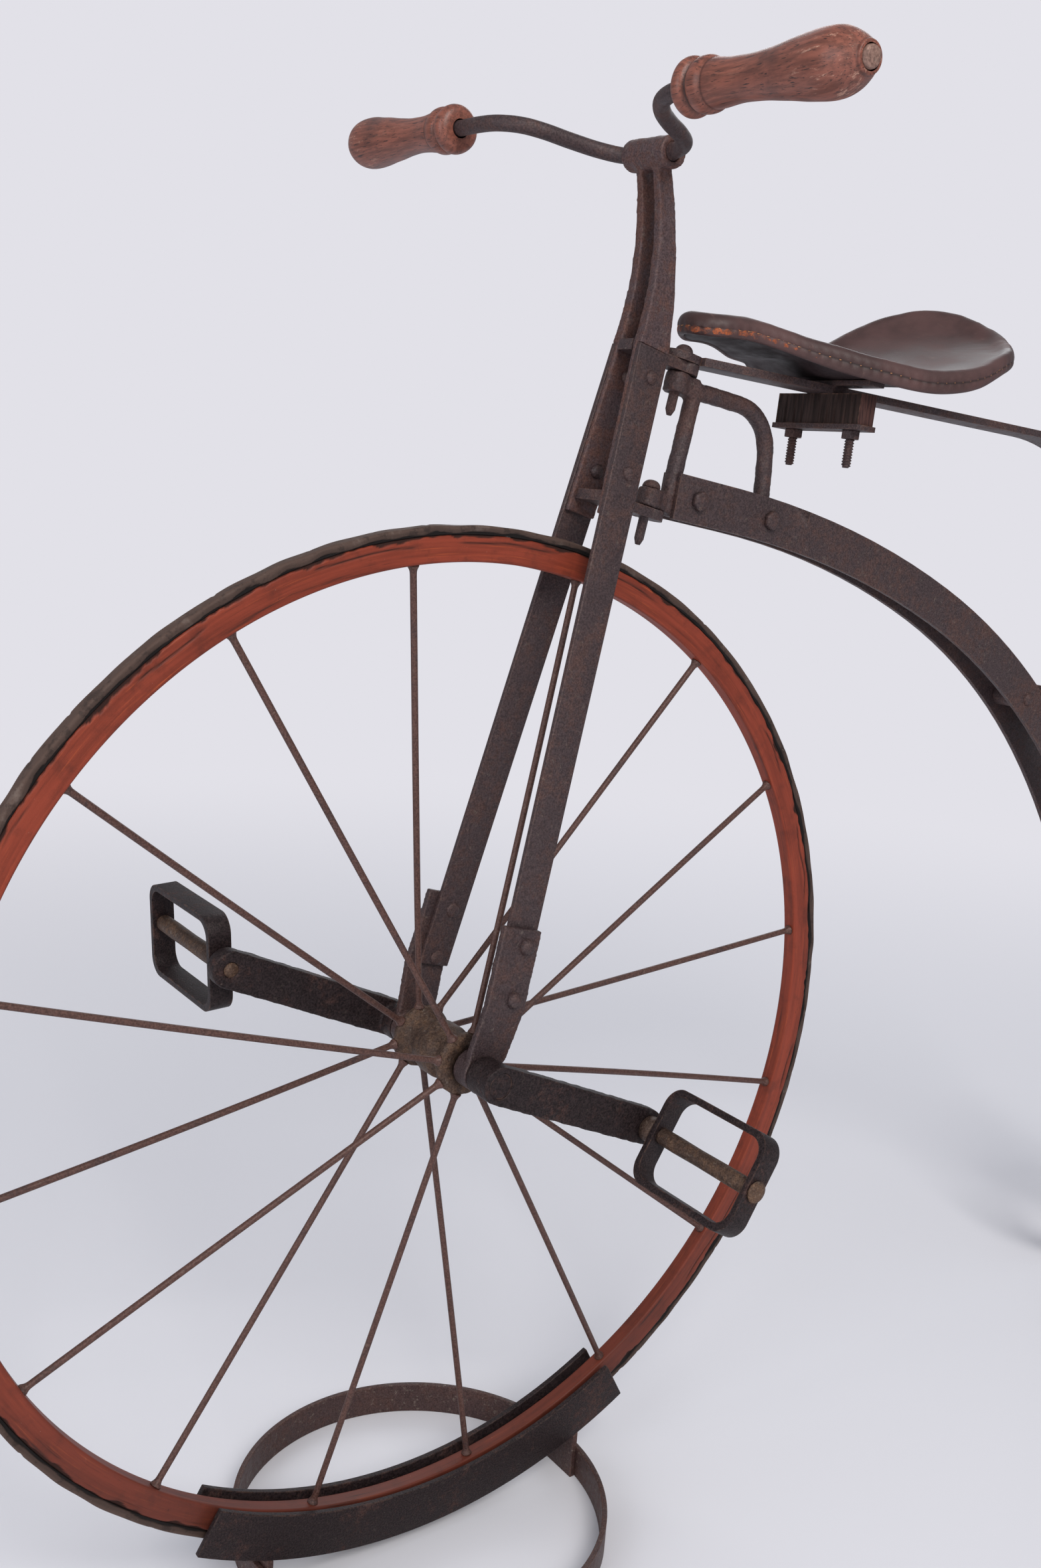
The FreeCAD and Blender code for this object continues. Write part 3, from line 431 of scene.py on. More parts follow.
def iron_skin():
    """Old iron: broad rust, fine pits and dust, from noises of three sizes."""
    def fill(g, given):
        place = g.place()
        broad = g.noise(place, 34.0, 6.0, 0.62)
        middle = g.noise(place, 240.0, 6.0, 0.68)
        fine = g.noise(place, 900.0, 3.0, 0.6)
        mixed = g.plus(g.times(broad, 0.55), g.times(middle, 0.45))
        shift = g.minus(mixed, g.minus(0.5, given["Rust Amount"]))
        rusted = g.ramp(shift, -0.06, 0.12, 0.0, 0.75)
        base = g.mix(rusted, given["Iron"], given["Rust"])
        darker = g.mix(1.0, base, srgb(190, 184, 186), "MULTIPLY")
        paler = g.mix(0.05, base, srgb(172, 146, 148), "ADD")
        base = g.mix(g.ramp(fine, 0.3, 0.7), darker, paler)
        scratch = g.noise(g.stretch(place, (90.0, 420.0, 170.0)), 1.0, 3.0, 0.85)
        base = g.mix(g.times(g.ramp(scratch, 0.7, 0.76), 0.35), base, given["Dust"])
        dusty = g.ramp(g.noise(place, 260.0, 6.0, 0.75), 0.56, 0.72)
        base = g.mix(g.times(dusty, given["Dust Amount"]), base, given["Dust"])
        rough = g.plus(g.plus(g.times(rusted, 0.22), 0.42), g.times(middle, 0.18))
        pits = g.plus(g.times(middle, 0.55), g.times(fine, 0.5))
        return {"Color": base, "Roughness": rough, "Height": pits}
    return shared_group("Iron Skin", {"Iron": "C", "Rust": "C", "Dust": "C",
                                      "Rust Amount": "F", "Dust Amount": "F"},
                        {"Color": "C", "Roughness": "F", "Height": "F"}, fill)


def edge_wear():
    """Where an edge is rubbed: the angle between the surface and its rounded-over self,
    broken up by noise."""
    def fill(g, given):
        round_normal = g.put("Bevel", {"Radius": given["Radius"]}, samples=4)
        true_normal = g.put("NewGeometry", out=1)
        along = g.put("VectorMath", {0: round_normal, 1: true_normal}, out=1,
                      operation="DOT_PRODUCT")
        edge = g.ramp(g.minus(1.0, along), 0.02, 0.16)
        broken = g.ramp(g.noise(g.place(), 160.0, 5.0, 0.7), 0.42, 0.62)
        return {"Mask": g.times(edge, broken)}
    return shared_group("Edge Wear", {"Radius": "F"}, {"Mask": "F"}, fill)


def round_grain():
    """Grain that runs round a hub: noise in four directions, quick in radius and width and
    slow along the rim, so that it has no seam."""
    def fill(g, given):
        place = g.put("VectorMath", {0: g.place(), 1: given["Hub"]}, operation="SUBTRACT")
        parts = g.tree.nodes.new("ShaderNodeSeparateXYZ")
        g.tree.links.new(place, parts.inputs[0])
        x, y, z = parts.outputs
        radius = g.math("SQRT", g.plus(g.times(x, x), g.times(z, z)))

        def streaks(across, along, detail):
            vector = g.put("CombineXYZ", {0: g.times(x, along), 1: g.times(z, along),
                                          2: g.times(radius, across)})
            return g.put("TexNoise", {"Vector": vector, "W": g.times(y, across),
                                      "Scale": 1.0, "Detail": detail, "Roughness": 0.6},
                         noise_dimensions="4D")
        return {"Grain": streaks(900.0, 28.0, 4.0), "Bands": streaks(260.0, 14.0, 5.0)}
    return shared_group("Round Grain", {"Hub": "V"}, {"Grain": "F", "Bands": "F"}, fill)


def straight_grain():
    """Grain of straight wood: noise stretched by a scale that is small along the grain."""
    def fill(g, given):
        stretched = g.put("VectorMath", {0: g.place(), 1: given["Stretch"]},
                          operation="MULTIPLY")
        return {"Grain": g.noise(stretched, 1.0, 5.0, 0.6),
                "Pores": g.noise(stretched, 3.4, 2.0, 0.5)}
    return shared_group("Straight Grain", {"Stretch": "V"}, {"Grain": "F", "Pores": "F"}, fill)


def material(name, **plain):
    """An empty material with a Principled shader, and the numbers that are the same all over."""
    made = bpy.data.materials.new(name)
    made.use_nodes = True
    shader = made.node_tree.nodes["Principled BSDF"]
    for key, value in plain.items():
        shader.inputs[key.replace("_", " ")].default_value = value
    return made, Graph(made.node_tree), shader.inputs


def cover(g, shader, base, roughness, height, strength, depth):
    """Joins a material's colour, roughness and bump of a height to its shader."""
    g.set(shader["Base Color"], base)
    g.set(shader["Roughness"], roughness)
    g.set(shader["Normal"], g.bump(height, strength, depth))


def shade(paint, *factors):
    """A colour with its parts times a factor, or times one each, and none over 1."""
    return tuple(float(v) for v in np.minimum(np.multiply(paint, factors), 1.0))


def iron_material(name, skin, rust, rust_amount, dust_amount, wear=0.55, bump=0.8,
                  radius=1.6 * MM, metallic=0.2, specular=0.45):
    made, g, shader = material(name, Metallic=metallic, Specular_IOR_Level=specular)
    c = colours()
    old = use_group(g, iron_skin(), {"Iron": getattr(c, skin), "Rust": getattr(c, rust),
                                     "Dust": c.dust, "Rust Amount": rust_amount,
                                     "Dust Amount": dust_amount})
    worn = use_group(g, edge_wear(), {"Radius": radius})
    rubbed = g.times(worn["Mask"], wear)
    warm = g.mix(g.noise(g.place(), 60.0, 3.0), c.edge_rust, c.bright_edge)
    cover(g, shader, g.mix(rubbed, old["Color"], warm),
          g.minus(old["Roughness"], g.times(rubbed, 0.15)), old["Height"], bump, 0.0006)
    return made


# kind: material's name, colours of the skin and the rust, how rusty, how dusty, and the rest
IRONS = {"old": ("Old Iron", "iron", "rust", -0.01, 0.3, {}),
         "forged": ("Forged Iron", "forged", "rust", -0.06, 0.12, {"specular": 0.25}),
         "stand": ("Stand Iron", "stand", "rust", 0.0, 0.75, {"wear": 0.8}),
         "yoke": ("Yoke Iron", "yoke", "yoke_rust", 0.03, 0.35, {}),
         "hub": ("Dusty Hub Iron", "hub", "hub_rust", 0.0, 0.6, {"specular": 0.25}),
         "bolt": ("Bolt Iron", "iron", "rust", 0.03, 0.3, {"radius": 0.8 * MM}),
         "spoke": ("Spoke Rust", "spoke", "iron", -0.06, 0.25,
                   {"wear": 0.0, "bump": 0.35, "radius": 0.5 * MM, "metallic": 0.1}),
         "bar_end": ("Worn Bar End", "bar_end", "rust", -0.06, 0.5, {"wear": 0.4})}


@cache
def iron(kind):
    """One of the kinds of iron, made when it is first asked for."""
    *plain, rest = IRONS[kind]
    return iron_material(*plain, **rest)


def rim_paint(hub, name):
    """Red-orange paint over wood, with brushed grain, dark splits, bare chipped edges, and painted shade that
    darkens it towards the floor.
    """
    c = colours()
    made, g, shader = material(name, Specular_IOR_Level=0.25)
    grain = use_group(g, round_grain(), {"Hub": tuple(hub)})
    place = g.place()
    paint = g.mix(g.ramp(grain["Bands"], 0.3, 0.7), shade(c.rim, 0.62), c.rim)
    paint = g.mix(g.ramp(grain["Grain"], 0.55, 0.8), paint, shade(c.rim, 1.5, 1.75, 1.2))
    grime = g.ramp(g.noise(place, 55.0, 6.0, 0.7), 0.46, 0.72)
    paint = g.mix(g.times(grime, 0.42), paint, c.rim_wood)
    # painted shade: the paint darkens below hub height, most near the floor
    low = g.ramp(g.put("SeparateXYZ", {0: place}, out=2), 0.3, 0.03, 0.0, 0.62)
    paint = g.mix(low, paint, srgb(74, 42, 34))
    fleck = g.ramp(g.noise(place, 330.0, 4.0, 0.75), 0.7, 0.75)
    paint = g.mix(g.times(fleck, 0.6), paint, srgb(196, 148, 130))
    bare = g.math("MAXIMUM", g.attribute("chipped"),
                  g.ramp(g.noise(place, 210.0, 5.0, 0.72), 0.68, 0.74))
    paint = g.mix(bare, paint, c.rim_wood)
    streak = g.ramp(g.math("MINIMUM", grain["Grain"], grain["Bands"]), 0.38, 0.27)
    paint = g.mix(g.times(streak, 0.7), paint, c.rim_wood)
    cover(g, shader, paint, g.ramp(bare, 0.0, 1.0, 0.5, 0.85),
          g.minus(g.times(grain["Grain"], 0.5), bare), 0.45, 0.0005)
    return made


@cache
def rubber():
    """Hard old rubber: pale worn patches, dark grime, and painted shade on the tyre's sides, darkest at the root
    by the rim.
    """
    made, g, shader = material("Old Rubber", Specular_IOR_Level=0.22)
    place = g.place()
    fine, broad = g.noise(place, 700.0, 4.0, 0.6), g.noise(place, 45.0, 6.0, 0.7)
    base = g.mix(g.ramp(broad, 0.54, 0.7), colours().rubber, srgb(106, 92, 85))
    base = g.mix(g.ramp(g.noise(place, 240.0, 5.0, 0.8), 0.66, 0.72), base, srgb(170, 152, 140))
    dark = g.ramp(g.noise(place, 120.0, 5.0, 0.7), 0.52, 0.64)
    base = g.mix(g.times(dark, 0.55), base, srgb(38, 31, 29))
    # painted shade on the tyre's sides, darkest in the gap at the rim
    base = g.mix(g.attribute("root"), base, srgb(20, 15, 14))
    cover(g, shader, base, g.ramp(broad, 0.3, 0.7, 0.55, 0.8), fine, 0.35, 0.0004)
    return made


@cache
def grip_wood():
    """Turned wood under old varnish: fine grain, rubbed ends, grime, and grooves darkened in the colour."""
    c = colours()
    made, g, shader = material("Turned Grip Wood", Specular_IOR_Level=0.45, Coat_Weight=0.12,
                               Coat_Roughness=0.35)
    grain = use_group(g, straight_grain(), {"Stretch": (420.0, 26.0, 420.0)})
    place = g.place()
    base = g.mix(g.ramp(grain["Grain"], 0.34, 0.66), shade(c.grip, 0.52), c.grip)
    base = g.mix(g.ramp(grain["Pores"], 0.42, 0.3), base, srgb(52, 30, 26))
    rubbed = g.ramp(g.noise(g.stretch(place, (260.0, 60.0, 260.0)), 1.0, 7.0, 0.78), 0.55, 0.65)
    rubbed = g.times(rubbed, g.attribute("rubbed"))
    base = g.mix(rubbed, base, c.grip_worn)
    grime = g.ramp(g.noise(place, 34.0, 5.0, 0.6), 0.5, 0.7)
    base = g.mix(g.times(grime, 0.45), base, srgb(58, 36, 32))
    base = g.mix(g.attribute("groove"), base, srgb(58, 26, 18))
    cover(g, shader, base, g.ramp(rubbed, 0.0, 1.0, 0.42, 0.62),
          g.plus(grain["Grain"], g.times(grain["Pores"], 0.5)), 0.3, 0.0005)
    return made


@cache
def block_wood():
    """Dark open-grained wood, redder on the face that looks to the left, pale on its edges."""
    c = colours()
    made, g, shader = material("Saddle Block Wood", Specular_IOR_Level=0.3)
    grain = use_group(g, straight_grain(), {"Stretch": (260.0, 420.0, 22.0)})
    worn = use_group(g, edge_wear(), {"Radius": 1.5 * MM})
    base = g.mix(g.ramp(grain["Grain"], 0.32, 0.68), shade(c.block, 0.3), c.block)
    leftward = g.put("SeparateXYZ", {0: g.put("NewGeometry", out=1)}, out=1)
    red = g.mix(g.ramp(grain["Pores"], 0.35, 0.65), srgb(56, 34, 32), srgb(86, 56, 50))
    base = g.mix(g.ramp(leftward, 0.6, 0.9), base, red)
    base = g.mix(g.times(worn["Mask"], 0.5), base, srgb(140, 102, 84))
    cover(g, shader, base, g.ramp(grain["Grain"], 0.3, 0.7, 0.8, 0.6), grain["Grain"], 0.8,
          0.0012)
    return made


@cache
def leather():
    """Saddle leather: fine cells, creases, a frayed tan lip, a rubbed tail and a dark seam."""
    c = colours()
    made, g, shader = material("Saddle Leather", Specular_IOR_Level=0.36, Coat_Weight=0.14,
                               Coat_Roughness=0.4)
    place = g.place()
    cells = g.put("TexVoronoi", {"Vector": place, "Scale": 620.0}, feature="DISTANCE_TO_EDGE")
    creases = g.noise(g.stretch(place, (180.0, 60.0, 90.0)), 1.0, 6.0, 0.7)
    broad = g.noise(place, 26.0, 5.0, 0.6)
    base = g.mix(g.ramp(broad, 0.35, 0.68), shade(c.leather, 0.55), c.leather)
    base = g.mix(g.times(g.ramp(creases, 0.6, 0.72), 0.5), base, srgb(108, 82, 76))
    fray = g.noise(place, 190.0, 6.0, 0.7)
    worn = g.ramp(g.plus(g.attribute("worn"), fray), 0.98, 1.1)
    worn = g.times(worn, g.ramp(g.noise(place, 130.0, 7.0, 0.75), 0.42, 0.6))
    tan = g.mix(g.ramp(fray, 0.4, 0.6), shade(c.leather_worn, 0.55), c.leather_worn)
    base = g.mix(worn, base, tan)
    rubbed = g.ramp(g.plus(g.attribute("rubbed"), broad), 1.0, 1.35)
    base = g.mix(g.times(rubbed, 0.7), base, srgb(150, 92, 66))
    base = g.mix(g.attribute("seam"), base, srgb(30, 20, 18))
    cover(g, shader, base,
          g.plus(g.ramp(broad, 0.3, 0.7, 0.5, 0.66), g.times(worn, 0.3)),
          g.plus(g.times(g.ramp(cells, 0.0, 0.12), 0.25), creases), 0.28, 0.0005)
    return made


@cache
def underside():
    """Dull dark plate under the saddle, with small rusty specks."""
    made, g, shader = material("Saddle Underside", Specular_IOR_Level=0.25)
    place = g.place()
    base = g.mix(g.noise(place, 60.0, 6.0, 0.6), srgb(32, 24, 26), srgb(64, 51, 52))
    base = g.mix(g.ramp(g.noise(place, 420.0, 4.0, 0.7), 0.64, 0.7), base, srgb(40, 32, 30))
    cover(g, shader, base, g.ramp(g.noise(place, 90.0, 4.0), 0.3, 0.7, 0.5, 0.7),
          g.noise(place, 300.0, 5.0), 0.2, 0.0005)
    return made


@cache
def thread():
    """Twisted waxed thread, dirty in patches."""
    made, g, shader = material("Waxed Thread", Specular_IOR_Level=0.3)
    place = g.place()
    twist = g.noise(place, 1500.0, 2.0)
    dirt = g.ramp(g.noise(place, 70.0, 4.0, 0.6), 0.52, 0.7)
    base = g.mix(twist, shade(colours().thread, 0.6), colours().thread)
    cover(g, shader, g.mix(dirt, base, srgb(48, 32, 26)), g.ramp(twist, 0.3, 0.7, 0.6, 0.8),
          twist, 0.4, 0.0002)
    return made


# ---------------------------------------------------------------- stage
EYE = np.array([0.500784, 0.742400, 0.356929])      # from the front hub
LOOK = np.array([-0.580618, -0.789066, -0.200646])
ROLL = math.radians(4.32)
LENS, SENSOR = 34.546, 36.0                         # millimetres

# name, place, watts and tint of the square lamps
LAMPS = (("key", (0.9, 2.4, 2.5), 66, (1.0, 0.97, 0.93)),
         ("fill", (2.6, 0.4, 1.2), 20, (0.95, 0.97, 1.0)),
         ("back", (-1.9, -2.0, 2.2), 24, (0.96, 0.98, 1.0)))
LAMP_SIDE = 1.6
LAMPS_AIM = Vector((0.0, 0.0, 0.45))                # the middle of the bicycle
WORLD_STRENGTH = 0.42                               # on the object; 1 where the camera sees it
FLOOR_HALF = 9.0
FLOOR_FADE = (0.7, 2.4)                             # from the middle, where it turns to backdrop


def make_camera():
    data = bpy.data.cameras.new("camera")
    data.lens, data.sensor_width = LENS, SENSOR
    data.clip_start, data.clip_end = 0.02, 60.0
    camera = bpy.data.objects.new("camera", data)
    level = unit(np.cross(LOOK, [0, 0, 1]))
    up = np.cross(level, LOOK)
    right = math.cos(ROLL) * level + math.sin(ROLL) * up
    axes = np.stack([right, np.cross(right, LOOK), -LOOK], 1)
    camera.matrix_world = Matrix.Translation(HUB + EYE) @ Matrix(axes.tolist()).to_4x4()
    bpy.context.scene.collection.objects.link(camera)
    bpy.context.scene.camera = camera


def make_lamp(name, spot, watts, tint):
    """A square area lamp that points at the middle of the bicycle."""
    data = bpy.data.lights.new(name, "AREA")
    data.size, data.energy, data.color = LAMP_SIDE, watts, tint
    lamp = bpy.data.objects.new(name, data)
    lamp.location = spot
    lamp.rotation_euler = (LAMPS_AIM - Vector(spot)).to_track_quat("-Z", "Y").to_euler()
    bpy.context.scene.collection.objects.link(lamp)


def make_world(backdrop):
    """A world that lights the object evenly and that the camera sees as pale grey."""
    world = bpy.data.worlds.new("studio")
    bpy.context.scene.world = world
    world.use_nodes = True
    g = Graph(world.node_tree)
    ground = world.node_tree.nodes["Background"]
    rays = world.node_tree.nodes.new("ShaderNodeLightPath").outputs
    seen = g.math("MAXIMUM", rays["Is Camera Ray"], rays["Is Transmission Ray"])
    g.set(ground.inputs["Color"], g.mix(seen, srgb(236, 238, 246), backdrop))
    g.set(ground.inputs["Strength"], g.ramp(seen, 0.0, 1.0, WORLD_STRENGTH, 1.0))


def make_floor(backdrop):
    """A pale floor that takes the shadow and fades to the backdrop's colour far out."""
    mesh = bpy.data.meshes.new("floor")
    h = FLOOR_HALF
    mesh.from_pydata([(-h, -h, 0), (h, -h, 0), (h, h, 0), (-h, h, 0)], [], [(0, 1, 2, 3)])
    floor = bpy.data.objects.new("floor", mesh)
    bpy.context.scene.collection.objects.link(floor)
    made, g, shader = material("Pale Floor", Roughness=0.9)
    g.set(shader["Base Color"], srgb(232, 232, 238))
    nodes = made.node_tree.nodes
    far = g.ramp(g.put("VectorMath", {0: g.place()}, out=1, operation="LENGTH"), *FLOOR_FADE)
    rays = nodes.new("ShaderNodeLightPath").outputs
    glow = g.put("Emission", {"Color": backdrop, "Strength": 1.0})
    plain = nodes["Principled BSDF"].outputs[0]
    both = g.put("MixShader", {0: g.times(far, rays["Is Camera Ray"]), 1: plain, 2: glow})
    g.set(nodes["Material Output"].inputs["Surface"], both)
    mesh.materials.append(made)


class BICYCLE_OT_stage(bpy.types.Operator):
    """Camera, pale floor, soft studio lamps and the plain pale world round the bicycle"""
    bl_idname = "bicycle.stage"
    bl_label = "Stage"

    def execute(self, context):
        context.scene.view_settings.view_transform = "Standard"
        make_camera()
        backdrop = srgb(226, 225, 232)
        make_world(backdrop)
        for lamp in LAMPS:
            make_lamp(*lamp)
        make_floor(backdrop)
        return {"FINISHED"}


# ---------------------------------------------------------------- wheels
RIM_WIDTH, TYRE_DEPTH = 11.0 * MM, 5.4 * MM
# middle, the rim's inner radius, its depth, and the steps round it
WHEELS = {"front": (HUB, 305.0 * MM, 16.0 * MM, 1200),
          "rear": (REAR_HUB, 80.0 * MM, 15.0 * MM, 480)}


def around_wheel(hub, radius, width, angle):
    """Point at a radius, a distance across and an angle rearward from straight up."""
    return hub + np.stack([-radius * np.sin(angle), width + 0 * radius,
                           radius * np.cos(angle)], -1)


def rim_surface(hub, inner, depth, steps, seed):
    """A rounded box profile carried round the hub. Its outer corners are chipped inwards
    where a ripple round the rim runs high, and a wavy split follows them."""
    s = sizes()
    half, r, outer = RIM_WIDTH / 2, s.rim_rounding, inner + depth
    turn = np.linspace(0, math.pi / 2, 5)
    corner = np.stack([np.sin(turn), 1 - np.cos(turn)], -1) * r
    side = np.linspace(inner + r + 0.6 * MM, outer - r, 16)
    profile = [(inner, 0.0), (inner, half * 0.55)]
    profile += [(inner + b, half - r + a) for a, b in corner]
    profile += [(x, half) for x in side]
    profile += [(outer - r + a, half - b) for a, b in corner]
    profile += [(outer, 0.0)]
    profile = np.array(profile)
    lower = profile[-2:0:-1] * [1, -1]
    radius, width = np.vstack([profile, lower]).T
    angle = full_turn(steps)[:, None]
    radius, width = np.broadcast_arrays(radius[None] + 0 * angle, width[None])
    lane = np.sign(width) * 0.2
    spot = np.stack([np.sin(angle) + lane, np.cos(angle) + lane, lane + 0 * angle], -1) * inner
    rough = ripple(spot, 0.034, seed) + 0.6 * ripple(spot, 0.009, seed + 1)
    margin = (0.9 + 1.5 * rough) * MM
    chipped = step_between(radius - (outer - margin), -0.4 * MM, 0.4 * MM)
    chipped *= np.abs(width) > half * 0.7
    split_at = outer - (4.6 + 1.4 * ripple(spot, 0.05, seed + 2)) * MM
    there = step_between(ripple(spot, 0.12, seed + 3), 0.05, 0.35)
    split = np.exp(-((radius - split_at) / (0.55 * MM)) ** 2) * there
    split *= np.abs(width) > half * 0.9
    sink = s.chip_depth * (chipped * (0.6 + 0.4 * rough) + 0.6 * split)
    width = width - np.sign(width) * np.clip(sink, 0, 2 * MM)
    return around_wheel(hub, radius, width, angle), np.clip(chipped + split, 0, 1)


def tyre_surface(hub, outer, steps, seed):
    """A flat rubber strip with rounded edges carried round the hub, uneven and nicked."""
    half, r = RIM_WIDTH / 2 - 0.05 * MM, 1.7 * MM
    turn = np.linspace(0, math.pi / 2, 6)
    side = [(half, h * MM) for h in (0.05, 0.6, 1.1, 1.6, 2.1, 2.8)]
    round_over = [(half - r + r * math.cos(t), TYRE_DEPTH - r + r * math.sin(t)) for t in turn]
    left = np.array(side + round_over + [(half * 0.45, TYRE_DEPTH + 0.05 * MM)])
    across, height = np.vstack([left, left[::-1] * [-1, 1]]).T
    angle = full_turn(steps)[:, None]
    radius, across = np.broadcast_arrays(outer + height[None] + 0 * angle, across[None])
    spot = around_wheel(hub, radius, across, angle)
    nick = step_between(ripple(spot, 0.009, seed + 1), 0.7, 1.1)
    lift = (height > 2 * MM) * (ripple(spot, 0.035, seed) * 0.35 - 0.5 * nick - 0.15) * MM
    wavy = height - 1.2 * MM * ripple(spot, 0.024, seed + 4)
    # painted shade: full at the foot of the tyre's sides by the rim, fainter up to about 4 mm
    root = 1 - 0.7 * step_between(wavy, 1.1 * MM, 1.5 * MM)
    root -= 0.3 * step_between(wavy, 3.1 * MM, 4.0 * MM)
    root *= np.abs(across) > half * 0.8
    spread = 1 + 0.04 * ripple(spot, 0.02, seed + 2) * (height > 1 * MM)
    spread -= 0.12 * step_between(root, 0.4, 0.9)
    return around_wheel(hub, radius + lift, across * spread, angle), root


class BICYCLE_OT_wheels(bpy.types.Operator):
    """Painted wooden rims with chipped edges, and their solid rubber tyres"""
    bl_idname = "bicycle.wheels"
    bl_label = "Rims and Tyres"

    def execute(self, context):
        for seed, (end, (hub, inner, depth, steps)) in enumerate(WHEELS.items()):
            body = end + "_wheel"
            rim, bare = rim_surface(hub, inner, depth, steps, 11 + seed)
            mesh_piece(end + "_rim_painted", [(rim, True, True)], body, "rim_wood",
                       rim_paint(hub, end.capitalize() + " Rim Paint"), (end + "_rim",),
                       chipped=bare)
            tyre, root = tyre_surface(hub, inner + depth, steps, 31 + seed)
            mesh_piece(end + "_tyre_worn", [(tyre, True, True)], body, "rubber", rubber(),
                       (end + "_tyre",), root=root)
        return {"FINISHED"}


# hub's middle, number, degrees of the first one, then in millimetres the radius of the
# flange's holes, their distance across and the rim's inner radius, and the seed of the bends
SPOKES = {"front": (HUB, 16, -30.5, 19.6, 25.5, 304.9, 5),
          "rear": (REAR_HUB, 10, 0.0, 14.6, 16.0, 79.9, 6)}
SPOKE_FLARE = 2.4 * MM          # width of the bell curve at a spoke's ends


def spoke_set(hub, count, phase, root_radius, root_y, inner, seed):
    """Each spoke is a tube from its flange to the rim: along its length t the middle line
    bows by the sine of pi t, and the radius spreads to the flare at both ends by a bell
    curve."""
    s = sizes()
    rng = np.random.default_rng(seed)
    k = np.arange(count)
    a = np.radians(phase + 360.0 / count * k)
    side = np.where(k % 2 == 0, 1.0, -1.0)
    out = np.stack([-np.sin(a), 0 * a, np.cos(a)], -1)
    start = hub + (out * root_radius + side[:, None] * root_y * ACROSS) * MM
    run = hub + out * inner * MM - start
    span = np.linalg.norm(run, axis=1)
    run = unit(run)
    across = unit(np.cross(run, ACROSS))
    third = np.cross(run, across)
    ends = np.array([0, 0.5, 1, 1.5, 2.2, 3, 4, 5.5, 8]) * MM / span.min()
    t = np.concatenate([ends, np.linspace(0.1, 0.9, 21), 1 - ends[::-1]])
    from_end = np.minimum(t, 1 - t) * span[:, None]
    bell = np.exp(-(from_end / SPOKE_FLARE) ** 2)
    radius = s.spoke_radius + (s.spoke_flare - s.spoke_radius) * bell
    bow = rng.normal(size=(count, 2)) * s.spoke_bow * 0.6
    bent = across * bow[:, :1] + third * bow[:, 1:]
    line = (start[:, None] + run[:, None] * (t * span[:, None])[..., None]
            + np.sin(math.pi * t)[:, None] * bent[:, None])
    points = rings(line, radius[..., None], across[:, None], third[:, None], 14)
    return [(p, False, True) for p in closed(points, line)]


class BICYCLE_OT_spokes(bpy.types.Operator):
    """Rod spokes with spread ends, each a little out of true"""
    bl_idname = "bicycle.spokes"
    bl_label = "Spokes"

    def execute(self, context):
        for end, plan in SPOKES.items():
            mesh_piece(end + "_spokes_rusty", spoke_set(*plan), end + "_wheel", "spoke_iron",
                       iron("spoke"), (end + "_spokes",))
        return {"FINISHED"}


def hub_profile(half, flange_radius, flange, barrel, bulge, bulge_half, bore):
    """Closed section of a spool, as heights and radii in millimetres: bored ends, rounded
    flanges, a waisted barrel and a bulge in its middle."""
    left = [(-half, bore), (-half, flange_radius * 0.8), (-half + 0.2, flange_radius - 0.8),
            (-half + 1.2, flange_radius), (-half + flange - 1.2, flange_radius),
            (-half + flange, flange_radius - 1.2), (-half + flange + 0.4, barrel + 3.0),
            (-half + flange + 2.5, barrel + 0.6), (-bulge_half - 1, barrel),
            (-bulge_half, barrel + 0.1), (-bulge_half * 0.75, bulge * 0.96),
            (-bulge_half * 0.45, bulge)]
    return np.array(left + [(-s, r) for s, r in reversed(left)] + left[:1]) * MM


FRONT_HUB = hub_profile(half=28, flange_radius=20, flange=5, barrel=13.5, bulge=17.5,
                        bulge_half=12, bore=8)
BACK_HUB = hub_profile(half=18, flange_radius=15, flange=4, barrel=10, bulge=10.6,
                       bulge_half=4, bore=5.05)
OIL_PLUG = np.array([(15.5, 0), (15.5, 4.6), (18.4, 4.6), (18.9, 4.0), (19.0, 1.2), (18.6, 1.0),
                     (18.6, 0)]) * MM
OIL_PLUG_WAY = np.array([0.45, 0.12, 0.88])
PIN_STRAP = {"left": 76.0, "right": 71.5}       # a pedal's inner strap, out from the middle
PEDAL_TILT = math.radians(-30.0)
PEDAL_SPREAD = 0.11


def pin_profile(strap):
    """A pin with a collar against the crank and a thicker middle inside the loop; it is thin
    only where it passes through the strap."""
    return np.array([(56.2, 0), (56.2, 4.6), (66.2, 4.6), (66.3, 7.8), (67.2, 8.6),
                     (strap - 1.2, 8.6), (strap - 0.4, 7.8), (strap - 0.3, 4.6),
                     (strap + 4.3, 4.6), (strap + 4.4, 5.1), (strap + 5.5, 5.5), (95, 5.6),
                     (115, 5.3), (140, 5.5), (159.5, 5.4), (160.6, 5.0), (160.7, 4.6),
                     (165.3, 4.6), (165.35, 6.4), (166.2, 7.0), (167.2, 6.6), (167.8, 4.8),
                     (167.8, 0)]) * MM


